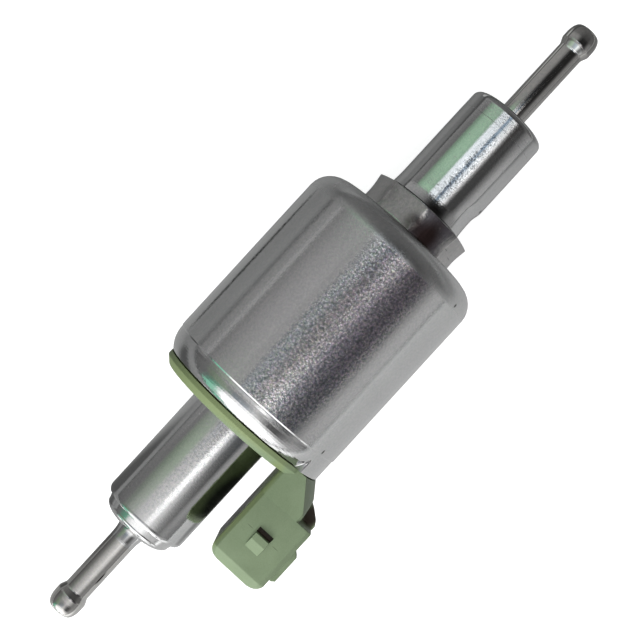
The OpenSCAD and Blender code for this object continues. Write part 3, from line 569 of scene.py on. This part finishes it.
def addNode(tree, kind, sockets=None, **values):
    # A socket takes a value or another node's output; values are the node's own properties
    node = tree.nodes.new("ShaderNode" + kind)
    for key, value in values.items():
        setattr(node, key, value)
    for place, source in (sockets or {}).items():
        if hasattr(source, "is_output"):
            tree.links.new(source, node.inputs[place])
        else:
            node.inputs[place].default_value = source
    return node


def maths(tree, operation, *values):
    return addNode(tree, "Math", dict(enumerate(values)), operation=operation).outputs[0]


def remap(tree, value, low, high, toLow=0.0, toHigh=1.0, **values):
    # low to high becomes toLow to toHigh, and nothing goes beyond them
    sockets = {"Value": value, "From Min": low, "From Max": high, "To Min": toLow, "To Max": toHigh}
    return addNode(tree, "MapRange", sockets, **values).outputs["Result"]


def blended(tree, share, first, second, **values):
    # The colour first at share 0 and second at 1
    return addNode(tree, "Mix", {0: share, 6: first, 7: second}, data_type="RGBA", **values).outputs[2]


# Shared effects, each a node group that puts out masks and heights

def nodeGroup(name, inputs, outputs):
    # Every group takes a Vector and the inputs given: a number makes a float socket, a tuple a vector socket
    group = bpy.data.node_groups.new(name, "ShaderNodeTree")
    for label, value in {"Vector": (0, 0, 0), **inputs}.items():
        kind = "NodeSocketVector" if isinstance(value, tuple) else "NodeSocketFloat"
        socket = group.interface.new_socket(label, in_out="INPUT", socket_type=kind)
        socket.default_value = value
    for label, kind in outputs.items():
        group.interface.new_socket(label, in_out="OUTPUT", socket_type=kind)
    return group, group.nodes.new("NodeGroupInput").outputs, group.nodes.new("NodeGroupOutput").inputs


def grainGroup():
    # Two sizes of noise added up: the pebbled skin of plated sheet or moulded plastic
    group, given, out = nodeGroup("grain", {"Scale": 2000.0},
                                  {"Height": "NodeSocketFloat", "Tint": "NodeSocketColor"})
    coarse = addNode(group, "TexNoise", {"Vector": given["Vector"], "Scale": given["Scale"],
                                         "Detail": 2.0, "Roughness": 0.6}).outputs
    finer = maths(group, "MULTIPLY", given["Scale"], 2.7)
    fine = addNode(group, "TexNoise", {"Vector": given["Vector"], "Scale": finer, "Detail": 1.0}).outputs
    group.links.new(maths(group, "MULTIPLY_ADD", fine["Fac"], 0.45, coarse["Fac"]), out["Height"])
    group.links.new(coarse["Color"], out["Tint"])
    return group


def ringsGroup():
    # Fine turning marks: noise that changes quickly along the axis and hardly at all round it
    group, given, out = nodeGroup("turning_rings", {"Along": 9000.0, "Across": 60.0},
                                  {"Height": "NodeSocketFloat"})
    split = addNode(group, "SeparateXYZ", {0: given["Vector"]}).outputs
    stretch = {"X": given["Along"], "Y": given["Across"], "Z": given["Across"]}
    stretched = {axis: maths(group, "MULTIPLY", split[axis], by) for axis, by in stretch.items()}
    place = addNode(group, "CombineXYZ", stretched).outputs[0]
    noise = addNode(group, "TexNoise", {"Vector": place, "Scale": 1.0, "Detail": 2.0}).outputs
    group.links.new(noise["Fac"], out["Height"])
    return group


def handlingGroup():
    # Smudges are broad noise; dents are dots at the middles of a cell pattern, 1 - distance / 0.12
    group, given, out = nodeGroup("handling", {"Smudge Scale": 90.0, "Dent Scale": 350.0},
                                  {"Smudge": "NodeSocketFloat", "Dents": "NodeSocketFloat"})
    smudge = addNode(group, "TexNoise", {"Vector": given["Vector"], "Scale": given["Smudge Scale"],
                                         "Detail": 5.0, "Distortion": 0.6}).outputs
    cells = addNode(group, "TexVoronoi", {"Vector": given["Vector"], "Scale": given["Dent Scale"]}).outputs
    group.links.new(smudge["Fac"], out["Smudge"])
    group.links.new(remap(group, cells["Distance"], 0.0, 0.12, 1.0, 0.0), out["Dents"])
    return group


def spotGroup():
    # 1 inside an ellipsoid and 0 outside it, eased over its outer part: distance = |(place - centre) / radii|
    group, given, out = nodeGroup("spot", {"Centre": (0, 0, 0), "Radii": (1, 1, 1), "Soft": 0.4},
                                  {"Mask": "NodeSocketFloat"})
    offset = addNode(group, "VectorMath", {0: given["Vector"], 1: given["Centre"]}, operation="SUBTRACT")
    scaled = addNode(group, "VectorMath", {0: offset.outputs[0], 1: given["Radii"]}, operation="DIVIDE")
    distance = addNode(group, "VectorMath", {0: scaled.outputs[0]}, operation="LENGTH").outputs["Value"]
    inside = maths(group, "SUBTRACT", 1.0, given["Soft"])
    mask = remap(group, distance, inside, 1.0, 1.0, 0.0, interpolation_type="SMOOTHSTEP")
    group.links.new(mask, out["Mask"])
    return group


grain, rings, handling, spot = grainGroup(), ringsGroup(), handlingGroup(), spotGroup()


def useGroup(tree, group, vector, **values):
    # An underscore in a value's name stands for the space in its socket's name
    sockets = {label.replace("_", " "): value for label, value in values.items()}
    return addNode(tree, "Group", {"Vector": vector, **sockets}, node_tree=group).outputs


def newMaterial(name):
    material = bpy.data.materials.new(name)
    material.use_nodes = True
    tree = material.node_tree
    return material, tree, tree.nodes["Principled BSDF"], addNode(tree, "TexCoord").outputs["Object"]


def spotMask(tree, place, centre, radii, soft):
    # centre and radii are in millimetres
    return useGroup(tree, spot, place, Centre=[c * mm for c in centre], Radii=[r * mm for r in radii],
                    Soft=soft)["Mask"]


def spotted(tree, place, colour, spots):
    # Each spot is (centre, radii, colour, softness); it covers the colour below it
    for centre, radii, stain, soft in spots:
        colour = blended(tree, spotMask(tree, place, centre, radii, soft), colour, (*stain, 1))
    return colour


def bumpInto(tree, shader, height, distance, strength, below=None):
    # below is the normal of the bump that this one is laid over
    sockets = {"Height": height, "Distance": distance, "Strength": strength}
    if below is not None:
        sockets["Normal"] = below
    normal = addNode(tree, "Bump", sockets).outputs["Normal"]
    tree.links.new(normal, shader.inputs["Normal"])
    return normal


def mottled(tree, share, look):
    return blended(tree, share, (*look["dark"], 1), (*look["light"], 1))


def smudgedGloss(tree, smudge, look):
    return remap(tree, smudge, 0.3, 0.7, *look["gloss"])


def speckleMask(tree, place, along, look):
    # 1 inside the speckled patch, eased at its rim, and 0 further along the axis than the band reaches
    centre, radii, soft = look["speckle"][:3]
    band = maths(tree, "COMPARE", along, centre[0] * mm, look["band"] * mm)
    return maths(tree, "MULTIPLY", spotMask(tree, place, centre, radii, soft), band)


metalDefaults = {
    "smudgeScale": 90.0, "dentScale": 350.0, "grainScale": 2500.0, "grainDepth": 0.00002, "tint": 0.1,
    "flake": 0.1, "ringAlong": 9000.0, "ringAcross": 60.0, "matteRun": 0.4, "spots": (),
}
plasticDefaults = {
    "smudgeScale": 120.0, "grainScale": 3500.0, "grainDepth": 0.00002, "grainShare": 0.35, "sheen": 0.5,
    "spots": (),
}


def metalMaterial(name, chosen):
    # Plated or bare metal: smudges shift its colour and gloss, and grain, turning rings and dents move its
    # surface. In a speckled patch the flakes, their tint and the grain are stronger
    look = {**metalDefaults, **chosen}
    material, tree, shader, place = newMaterial(name)
    along = addNode(tree, "SeparateXYZ", {0: place}).outputs["X"]
    marks = useGroup(tree, handling, place, Smudge_Scale=look["smudgeScale"], Dent_Scale=look["dentScale"])
    skin = useGroup(tree, grain, place, Scale=look["grainScale"])
    flake, tint, grainStrength = look["flake"], look["tint"], 1.0
    if "speckle" in look:
        shown = speckleMask(tree, place, along, look)
        flake = maths(tree, "MULTIPLY_ADD", shown, look["speckle"][3], flake)
        tint = maths(tree, "MULTIPLY_ADD", shown, look["vivid"], tint)
        grainStrength = maths(tree, "MULTIPLY_ADD", shown, 1 - look["calm"], look["calm"])
    tinted = blended(tree, tint, mottled(tree, marks["Smudge"], look), skin["Tint"], blend_type="OVERLAY")
    darkest, brightest = maths(tree, "SUBTRACT", 1.0, flake), maths(tree, "ADD", 1.0, flake)
    flakes = remap(tree, skin["Height"], 0.50, 0.95, darkest, brightest)
    flaked = addNode(tree, "VectorMath", {0: tinted, 1: flakes}, operation="MULTIPLY").outputs[0]
    tree.links.new(spotted(tree, place, flaked, look["spots"]), shader.inputs["Base Color"])
    roughness = smudgedGloss(tree, marks["Smudge"], look)
    if "matteFrom" in look:
        start, run = look["matteFrom"] * mm, look["matteRun"] * mm
        matte = remap(tree, along, start, start + run, 0.0, look["matteBy"])
        roughness = maths(tree, "ADD", roughness, matte)
    tree.links.new(roughness, shader.inputs["Roughness"])
    shader.inputs["Metallic"].default_value = 1.0
    normal = bumpInto(tree, shader, skin["Height"], look["grainDepth"], grainStrength)
    if "ringDepth" in look:
        turned = useGroup(tree, rings, place, Along=look["ringAlong"], Across=look["ringAcross"])
        normal = bumpInto(tree, shader, turned["Height"], look["ringDepth"], 1.0, normal)
    if "dentDepth" in look:
        bumpInto(tree, shader, marks["Dents"], -look["dentDepth"], 1.0, normal)
    return material


def plasticMaterial(name, chosen):
    # Moulded plastic, rubber, tape or nylon: mottled colour, pebbled skin, faint smudges in the gloss
    look = {**plasticDefaults, **chosen}
    material, tree, shader, place = newMaterial(name)
    marks = useGroup(tree, handling, place, Smudge_Scale=look["smudgeScale"])
    skin = useGroup(tree, grain, place, Scale=look["grainScale"])
    mixed = maths(tree, "MULTIPLY_ADD", skin["Height"], look["grainShare"], marks["Smudge"])
    colour = mottled(tree, remap(tree, mixed, 0.5, 1.0), look)
    tree.links.new(spotted(tree, place, colour, look["spots"]), shader.inputs["Base Color"])
    tree.links.new(smudgedGloss(tree, marks["Smudge"], look), shader.inputs["Roughness"])
    shader.inputs["Specular IOR Level"].default_value = look["sheen"]
    bumpInto(tree, shader, skin["Height"], look["grainDepth"], 1.0)
    return material


# Colours of stains and marks, and of painted shade, shadow, light and reflection, then the look of each
# finish.
# Spots are (centre, radii, colour, softness) in millimetres; a speckled patch is (centre, radii, softness,
# strength), and band is how far it reaches along the axis

hollowShade, soot, olive = (0.030, 0.022, 0.014), (0.02, 0.018, 0.016), (0.140, 0.176, 0.084)
scuff, brown = (0.08, 0.10, 0.06), (0.10, 0.07, 0.06)
recessShade, umber, shade = (0.075, 0.07, 0.04), (0.11, 0.10, 0.095), (0.022, 0.026, 0.018)
paintedShine, ash = (0.95, 0.97, 0.96), (0.30, 0.33, 0.27)
plated = {"dark": (0.50, 0.50, 0.50), "light": (0.60, 0.60, 0.60)}
canLook = {
    **plated, "gloss": (0.065, 0.085), "grainScale": 2300.0, "grainDepth": 0.000025, "tint": 0.06,
    "flake": 0.07, "speckle": ((0.0, -3.4, 18.0), (34.0, 7.6, 9.0), 0.3, 0.50), "band": 16.6,
    "vivid": 0.24, "calm": 0.55, "smudgeScale": 60.0, "matteFrom": 16.2, "matteBy": 0.2,
    "spots": [((17.3, -14.6, 10.5), (0.5, 0.2, 0.6), soot, 0.6),
              ((-16.0, -14.9, 10.1), (0.6, 0.18, 0.6), soot, 0.6)],
}
turnedLook = {
    **plated, "gloss": (0.06, 0.09), "grainScale": 2400.0, "grainDepth": 0.000005, "tint": 0.05,
    "flake": 0.06, "ringDepth": 0.0000007, "dentDepth": 0.000006, "dentScale": 420.0,
}
inletLook = {
    **turnedLook, "grainDepth": 0.000009,
    "speckle": ((-33.0, -0.2, 8.2), (14.0, 2.6, 3.0), 0.5, 0.12), "band": 12.0, "vivid": 0.05, "calm": 0.4,
}
outletLook = {
    **turnedLook, "grainDepth": 0.00001, "dentDepth": 0.000008, "grainScale": 2700.0,
    "speckle": ((36.0, -0.3, 7.6), (12.0, 1.6, 3.0), 0.7, 0.72), "band": 7.6, "vivid": 0.0, "calm": 0.6,
    "spots": [((33.0, -7.3, 2.0), (0.5, 0.3, 1.2), soot, 0.7),
              # Painted reflection of the collar's shadow: a dark patch just above the collar
              ((27.2, -1.3, 7.7), (1.2, 2.8, 1.6), umber, 0.8)],
}
spigotLook = {
    **turnedLook, "dark": (0.44, 0.43, 0.42), "light": (0.56, 0.55, 0.53), "gloss": (0.045, 0.06),
    "grainDepth": 0.000001, "ringDepth": 0.0000004, "dentDepth": 0.000001,
    "spots": [((-59.4, -1.74, 1.65), (1.9, 0.22, 0.35), soot, 0.6),
              # Painted highlight: a near-white patch on top of the outlet bead's cone
              ((65.2, 0.1, 2.7), (0.9, 2.2, 1.5), paintedShine, 0.3),
              # Painted shadow: a dark ring round the outlet spigot's root at the cap
              ((49.1, 0.0, 0.0), (0.9, 3.2, 3.2), umber, 0.9)],
}
collarLook = {
    "dark": (0.30, 0.295, 0.29), "light": (0.44, 0.435, 0.43), "gloss": (0.12, 0.17), "grainScale": 1800.0,
    "tint": 0.06, "flake": 0.14, "dentDepth": 0.00003, "dentScale": 500.0,
    "ringDepth": 0.00002, "ringAlong": 200.0, "ringAcross": 2500.0,
    # Painted reflection: dark umber and brown patches on the top flats, where the metal mirrors a dark shape
    "spots": [((22.8, -0.4, 9.6), (3.2, 3.2, 3.4), umber, 0.8),
              ((22.4, -3.3, 9.2), (5.6, 3.3, 3.4), brown, 0.75),
              ((23.6, -7.6, 6.7), (0.12, 1.0, 0.9), soot, 0.7),
              ((23.0, -8.9, 4.2), (0.12, 0.8, 1.5), soot, 0.7)],
}
greenLook = {
    "dark": (0.121, 0.160, 0.094), "light": (0.166, 0.212, 0.132), "gloss": (0.40, 0.52), "sheen": 0.25,
    "grainDepth": 0.000015, "grainScale": 4200.0,
    # Olive on the disc is partly the moulding's own yellower hue and partly painted shade; on the head's
    # inner side it is painted shade
    "spots": [((-21.0, 12.0, 0.0), (3.0, 30.0, 40.0), olive, 0.3),
              ((-32.0, -10.6, 0.0), (20.0, 2.5, 20.0), olive, 0.3),
              ((-35.0, -11.7, -2.0), (7.5, 0.8, 9.4), shade, 0.5),
              # Painted light: the head's inner side paler and greyer at the mouth
              ((-42.6, -11.7, 0.0), (4.0, 0.8, 9.0), ash, 0.9),
              # Painted shade: the hollow between neck, web and head darkened as if in shadow
              ((-25.2, -22.0, 2.0), (4.6, 2.4, 9.0), recessShade, 0.9),
              ((-26.2, -21.6, 0.0), (3.2, 1.9, 4.5), hollowShade, 0.5),
              # Painted shade in the slots above the nubs
              *[((-33.15, -17.25, side * 7.62), (1.3, 3.0, 0.84), hollowShade, 0.1) for side in (-1, 1)],
              *[((-33.75, y, side * 8.5), (0.09, 0.9, 0.3), scuff, 0.7) for y in (-14.4, -20.1)
                for side in (-1, 1)]],
}
materials = {
    "zinc_steel": metalMaterial("zinc_plated_steel", canLook),
    "turned_steel": metalMaterial("turned_plated_steel", turnedLook),
    "inlet_steel": metalMaterial("inlet_plated_steel", inletLook),
    "outlet_steel": metalMaterial("outlet_plated_steel", outletLook),
    "spigot_steel": metalMaterial("spigot_plated_steel", spigotLook),
    "crimped_steel": metalMaterial("crimped_plated_steel", collarLook),
    "green_plastic": plasticMaterial("green_moulding", greenLook),
    "tinned_blade": metalMaterial("tinned_blade", {
        "dark": (0.60, 0.58, 0.53), "light": (0.72, 0.70, 0.66), "gloss": (0.2, 0.35),
        "grainDepth": 0.000005}),
    "copper_wire": metalMaterial("enamelled_copper", {
        "dark": (0.45, 0.16, 0.06), "light": (0.62, 0.26, 0.1), "gloss": (0.2, 0.3), "ringDepth": 0.0001,
        "ringAlong": 3000.0}),
    "nylon": plasticMaterial("nylon", {
        "dark": (0.60, 0.56, 0.46), "light": (0.70, 0.67, 0.57), "gloss": (0.35, 0.5)}),
    "tape": plasticMaterial("winding_tape", {
        "dark": (0.48, 0.34, 0.08), "light": (0.62, 0.46, 0.12), "gloss": (0.3, 0.45)}),
    "soft_iron": metalMaterial("soft_iron", {
        "dark": (0.30, 0.30, 0.30), "light": (0.42, 0.42, 0.42), "gloss": (0.3, 0.45),
        "ringDepth": 0.000008}),
    "brass": metalMaterial("brass", {
        "dark": (0.60, 0.42, 0.14), "light": (0.75, 0.56, 0.22), "gloss": (0.2, 0.32),
        "ringDepth": 0.000008}),
    "rubber": plasticMaterial("rubber", {
        "dark": (0.012, 0.012, 0.012), "light": (0.03, 0.03, 0.03), "gloss": (0.55, 0.75)}),
    "mesh": metalMaterial("sieve_cloth", {
        "dark": (0.35, 0.35, 0.33), "light": (0.6, 0.6, 0.58), "gloss": (0.35, 0.5), "ringDepth": 0.00005,
        "ringAlong": 8000.0}),
    "hard_steel": metalMaterial("hardened_steel", {
        "dark": (0.50, 0.51, 0.53), "light": (0.62, 0.63, 0.65), "gloss": (0.08, 0.15),
        "grainDepth": 0.000002}),
    "spring_steel": metalMaterial("spring_steel", {
        "dark": (0.32, 0.32, 0.33), "light": (0.46, 0.46, 0.47), "gloss": (0.22, 0.35),
        "grainDepth": 0.000005}),
}


# Every piece gets its material and its body, and the CAD node that it stands for is hidden

shells = {
    "can": (can, "zinc_steel", "zinc_steel"),
    "crimp_collar": (collar, "crimped_steel", "zinc_steel"),
    "connector_cover": (cover, "green_plastic", "green_plastic"),
    "inlet_tube": (inletTube, "inlet_steel", "zinc_steel"),
    "inlet_cap": (inletCap, "turned_steel", "zinc_steel"),
    "inlet_spigot": (inletSpigot, "spigot_steel", "zinc_steel"),
    "outlet_body": (outletBody, "outlet_steel", "zinc_steel"),
    "outlet_cap": (outletCap, "outlet_steel", "zinc_steel"),
    "outlet_spigot": (outletSpigot, "spigot_steel", "zinc_steel"),
}
for node, (piece, finish, slot) in shells.items():
    piece.data.materials.clear()
    piece.data.materials.append(materials[finish])
    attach(piece, "housing")
    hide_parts(node)

innerFinish = {
    "tinned_blade": ["terminal_blades"],
    "copper_wire": ["coil_leads", "coil_winding"],
    "nylon": ["coil_bobbin", "filter_cage"],
    "tape": ["winding_tape"],
    "soft_iron": ["yoke_washer", "stop_ring", "armature"],
    "brass": ["gap_ring", "barrel", "valve_seat", "valve_cage"],
    "rubber": ["inlet_cap_seal", "rest_bumper", "end_bumper", "barrel_seal", "valve_seal", "outlet_cap_seal"],
    "mesh": ["filter_mesh"],
    "hard_steel": ["piston", "valve_ball"],
    "spring_steel": ["return_spring", "valve_spring"],
}
for finish, nodes in innerFinish.items():
    for node in nodes:
        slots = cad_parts[node].data.materials
        slots.clear()
        slots.append(materials[finish])

springs = {
    "return_spring": {"joint": "piston_stroke", "anchor": 9.63, "keep": 0.72},
    "valve_spring": {"joint": "outlet_valve_lift", "anchor": 24.73, "keep": 0.84},
}
for node, s in springs.items():
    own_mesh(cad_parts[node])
print("materials and bodies set")


# Stage: a pale floor under the can, a soft sky with windows in it, and a camera looking straight down

stageLook = {
    "floorHeight": -18.0, "floorHalf": 3000.0, "floorSeen": (0.50, 0.50, 0.50), "floorLift": 0.80,
    # How the floor shows in reflections, all painted shade and light: shades across Y times shades along X,
    # then soft patches
    "floorReach": 400.0,
    "floorAcross": [(-399, 0.8), (-200, 0.55), (-60, 0.47), (-20, 0.46), (20, 0.30), (45, 0.28), (60, 0.22),
                    (110, 0.25), (200, 0.29), (399, 0.30)],
    "floorAlong": [(-60, 1.0), (24, 1.0), (55, 0.9), (80, 0.5), (120, 0.40), (220, 0.8), (399, 1.0)],
    "floorPatches": [((0, 47.5, -18), (23, 3.6, 5), (0.005, 0.005, 0.005), 0.3),
                     ((-46, -30, -18), (14, 18, 5), (0.22, 0.22, 0.22), 0.9),
                     ((-54, 46, -18), (24, 60, 5), (0.09, 0.09, 0.09), 0.6),
                     ((80, 70, -18), (16, 48, 5), (0.55, 0.55, 0.55), 0.5),
                     ((-190, -50, -18), (110, 150, 5), (0.95, 0.95, 0.95), 0.3)],
    "cameraPlace": (0.1, 0.6, 229.7), "lens": 73.1, "roll": -47.44, "skyStrength": 1.0,
    "backdrop": (1.0, 1.0, 1.0),
}
softLights = {
    "key": {"place": (-460, -60, 270), "size": 260, "power": 3.4},
    "fill": {"place": (120, -60, 520), "size": 420, "power": 1.0},
}

# The sky is ruled into columns by how far a direction leans along the pump's axis (-1 to 1). A column's stops
# are (degrees from overhead towards the connector's side, brightness, tint); without a tint it is plain grey
plain, faint, pale, cool = (1.0, 1.0, 1.0), (1.04, 1.03, 1.04), (0.90, 0.96, 1.0), (0.80, 0.90, 1.0)
green, leaf, teal, blue = (0.66, 1.0, 0.72), (0.80, 1.0, 0.76), (0.42, 1.0, 0.72), (0.62, 0.80, 1.0)
violet, pink, dusk, brownish = (0.96, 0.85, 1.0), (0.74, 0.54, 0.66), (0.80, 0.72, 0.84), (1.0, 0.80, 0.72)


def canStops(first, second, third):
    # Window bars and branches over the can: lights between dark gaps, in three tints from left to right
    side = [(-125, 0.28), (-105, 0.34), (-88, 0.34), (-78, 0.38), (-75, 0.62), (-72, 0.28),
            (-64, 0.34, faint), (-52, 0.42, faint), (-31, 0.50, faint), (-28, 0.40, faint),
            (-22, 0.55, faint)]
    bars = [(-19, 0.08, first), (-15, 0.80, first), (-11, 0.04, first), (-7, 0.66, first), (-3, 0.04, second),
            (1, 0.54, second), (5, 0.04, second), (9, 0.66, second), (13, 0.04, second), (17, 0.78, second),
            (21, 0.04, third), (25, 0.66, third), (30, 0.07, third), (35, 0.31, third), (42, 0.13, third),
            (58, 0.16, third)]
    return side + bars + [(67, 0.34), (76, 0.58), (84, 0.62), (130, 0.58)]


inletSide = [(-110, 0.18), (-84, 0.20)]
outletSide = [(-120, 0.34), (-96, 0.38), (-82, 0.26), (-70, 0.22), (-64, 0.44, green), (-52, 0.74, green),
              (-34, 0.80, green), (-26, 0.68, green), (-22, 1.6, pale), (-10, 1.6, pale)]
spigotTop = [(-12, 0.10), (0, 0.03), (40, 0.03), (52, 0.12), (64, 0.30)]
skyColumns = {
    -0.95: [(-125, 0.18), (-106, 0.22), (-100, 0.85, teal), (-80, 0.95, teal), (-66, 0.8), (-52, 2.4),
            (100, 2.4), (140, 1.4)],
    -0.80: [(-125, 0.18), (-98, 0.30), (-84, 0.9, teal), (-58, 0.9, teal), (-48, 1.4), (-40, 2.0), (64, 2.2),
            (80, 1.8), (120, 0.8)],
    -0.72: [(-110, 0.20), (-84, 0.25), (-66, 0.4, teal), (-46, 0.5, teal), (-34, 1.0), (-10, 1.6), (28, 1.8),
            (44, 1.1), (84, 1.1), (110, 0.6)],
    -0.60: [*inletSide, (-70, 0.22), (-57, 0.32, leaf), (-44, 0.44, leaf), (-32, 0.48, leaf),
            (-20, 0.40, cool), (-9, 0.48, cool), (3, 0.62, cool), (14, 1.0), (26, 0.68), (38, 0.20),
            (50, 0.14), (63, 0.30), (78, 0.62), (110, 0.6)],
    -0.34: [*inletSide, (-70, 0.24), (-57, 0.32, leaf), (-44, 0.40, leaf), (-30, 0.42), (-12, 0.38),
            (3, 0.54), (14, 0.72), (26, 0.46), (36, 0.15), (50, 0.14), (63, 0.30), (78, 0.50), (110, 0.5)],
    -0.24: [(-110, 0.14), (-80, 0.16), (-53, 0.30), (-29, 0.64), (0, 1.05), (18, 1.30), (34, 1.15),
            (46, 0.60), (56, 0.40), (80, 0.38), (110, 0.34)],
    -0.13: [(-120, 0.16), (-100, 0.18), (-84, 0.30), (-66, 0.24), (-56, 0.36, leaf), (-42, 0.52, leaf),
            (-30, 0.60, leaf), (-18, 0.74), (-4, 0.86), (8, 1.05), (13, 2.3), (21, 2.3), (27, 0.9),
            (38, 0.20), (56, 0.10), (66, 0.50), (72, 0.5), (82, 0.26), (110, 0.10)],
    -0.085: canStops(cool, faint, cool),
    0.0: canStops(pale, faint, violet),
    0.085: canStops(plain, pink, dusk),
    0.110: [(-110, 0.30), (-80, 0.34), (-52, 0.38), (-47, 0.24), (-42, 0.38), (-24, 0.34), (-12, 0.06),
            (40, 0.04), (52, 0.12), (62, 0.34), (84, 0.5), (110, 0.5)],
    0.128: [*outletSide, (-4, 1.4, pale), (-1, 0.7, blue), (5, 0.7, blue), (9, 1.3, pale), (13, 1.6, pale),
            (22, 1.5), (28, 0.50), (33, 0.10), (54, 0.07), (66, 0.26), (76, 0.50), (100, 0.66), (120, 0.56)],
    0.155: [*outletSide, (-4, 1.2, pale), (-2, 0.08, blue), (5, 0.08, blue), (8, 1.3, pale), (13, 1.6, pale),
            (22, 1.5), (28, 0.50), (34, 0.10), (54, 0.07), (66, 0.30), (76, 0.52), (90, 0.62), (120, 0.55)],
    0.188: [*outletSide, (-4, 1.5, pale), (-1, 0.7, blue), (5, 0.7, blue), (9, 1.5, pale), (13, 1.6, pale),
            (22, 1.5), (28, 0.40), (34, 0.08), (50, 0.07), (66, 0.28), (78, 0.50), (90, 0.60), (120, 0.50)],
    0.214: [*outletSide, (-4, 1.8), (0, 1.3, blue), (5, 1.4, blue), (9, 1.8), (22, 1.7), (26, 0.25),
            (34, 0.08, brownish), (44, 0.20), (52, 0.07), (66, 0.30), (80, 0.40), (120, 0.34)],
    0.218: [(-110, 0.60), (-80, 0.44), (-41, 0.44), (-26, 0.34), *spigotTop, (84, 0.38), (110, 0.34)],
    0.28: [(-110, 0.60), (-80, 0.44), (-41, 0.42), (-26, 0.32), *spigotTop, (84, 0.36), (110, 0.32)],
    0.38: [(-110, 0.26), (-40, 0.22), (-10, 0.11), (0, 0.08), (40, 0.08), (60, 0.18), (110, 0.24)],
    0.90: [(-180, 0.17), (180, 0.17)],
}


def ramp(tree, share, stops):
    # -180 degrees is share 0 and 180 degrees is share 1
    node = addNode(tree, "ValToRGB", {0: share})
    elements = node.color_ramp.elements
    while len(elements) < len(stops):
        elements.new(0.5)
    for element, (degrees, brightness, *tint) in zip(elements, stops):
        element.position = degrees / 360 + 0.5
        element.color = (*[brightness * part for part in (tint[0] if tint else plain)], 1)
    return node.outputs["Color"]


def floorPiece():
    # Reflections and bounced light see the painted shades and patches of shadow and light, the camera sees
    # one pale tone
    half = stageLook["floorHalf"]
    points = np.array([(-half, -half, 0), (half, -half, 0), (half, half, 0), (-half, half, 0)])
    points[:, 2] = stageLook["floorHeight"]
    mesh = bpy.data.meshes.new("floor")
    mesh.from_pydata((points * mm).tolist(), [], [(0, 1, 2, 3)])
    floor = bpy.data.objects.new("floor", mesh)
    bpy.context.scene.collection.objects.link(floor)
    material, tree, shader, place = newMaterial("pale_floor")
    split = addNode(tree, "SeparateXYZ", {0: place}).outputs
    reach = stageLook["floorReach"]

    def shades(axis, stops):
        share = remap(tree, split[axis], -reach * mm, reach * mm)
        return ramp(tree, share, [(at * 180 / reach, grey) for at, grey in stops])

    shaded = blended(tree, 1.0, shades("Y", stageLook["floorAcross"]), shades("X", stageLook["floorAlong"]),
                     blend_type="MULTIPLY")
    tree.links.new(spotted(tree, place, shaded, stageLook["floorPatches"]), shader.inputs["Base Color"])
    shader.inputs["Roughness"].default_value = 0.9
    shader.inputs["Specular IOR Level"].default_value = 0.0
    bright = addNode(tree, "BsdfDiffuse", {"Color": (*stageLook["floorSeen"], 1)}).outputs[0]
    lift = addNode(tree, "Emission", {"Strength": stageLook["floorLift"]}).outputs[0]
    seen = addNode(tree, "AddShader", {0: bright, 1: lift}).outputs[0]
    isCamera = addNode(tree, "LightPath").outputs["Is Camera Ray"]
    mixed = addNode(tree, "MixShader", {0: isCamera, 1: shader.outputs[0], 2: seen}).outputs[0]
    tree.links.new(mixed, tree.nodes["Material Output"].inputs["Surface"])
    mesh.materials.append(material)


def skyWorld():
    # A column is read at atan2(-y, z) of the direction, and neighbouring columns are mixed by its x
    world = bpy.data.worlds.new("studio")
    bpy.context.scene.world = world
    world.use_nodes = True
    tree = world.node_tree
    direction = addNode(tree, "TexCoord").outputs["Generated"]
    split = addNode(tree, "SeparateXYZ", {0: direction}).outputs
    turn = maths(tree, "ARCTAN2", maths(tree, "MULTIPLY", split["Y"], -1.0), split["Z"])
    share = remap(tree, turn, -np.pi, np.pi)
    leans = sorted(skyColumns)
    colour = ramp(tree, share, skyColumns[leans[0]])
    for low, high in zip(leans, leans[1:]):
        between = remap(tree, split["X"], low, high)
        colour = blended(tree, between, colour, ramp(tree, share, skyColumns[high]))
    isCamera = addNode(tree, "LightPath").outputs["Is Camera Ray"]
    seen = blended(tree, isCamera, colour, (*stageLook["backdrop"], 1))
    background = tree.nodes["Background"]
    background.inputs["Strength"].default_value = stageLook["skyStrength"]
    tree.links.new(seen, background.inputs["Color"])


def softLight(name, look):
    light = bpy.data.lights.new(name, "AREA")
    light.shape = "DISK"
    light.size = look["size"] * mm
    light.energy = look["power"]
    lamp = bpy.data.objects.new(name, light)
    lamp.location = Vector(look["place"]) * mm
    lamp.rotation_euler = (-lamp.location).to_track_quat("-Z", "Y").to_euler()
    lamp.visible_glossy = False
    bpy.context.scene.collection.objects.link(lamp)


def photoCamera():
    camera = bpy.data.cameras.new("photo")
    camera.sensor_width = 36.0
    camera.lens = stageLook["lens"]
    camera.clip_start = 0.01
    camera.clip_end = 20.0
    viewer = bpy.data.objects.new("photo", camera)
    viewer.location = Vector(stageLook["cameraPlace"]) * mm
    viewer.rotation_euler = (0, 0, np.radians(stageLook["roll"]))
    bpy.context.scene.collection.objects.link(viewer)
    bpy.context.scene.camera = viewer


bpy.context.scene.view_settings.view_transform = "Standard"
floorPiece()
skyWorld()
for lightName, lightLook in softLights.items():
    softLight(lightName, lightLook)
photoCamera()
print("stage set")
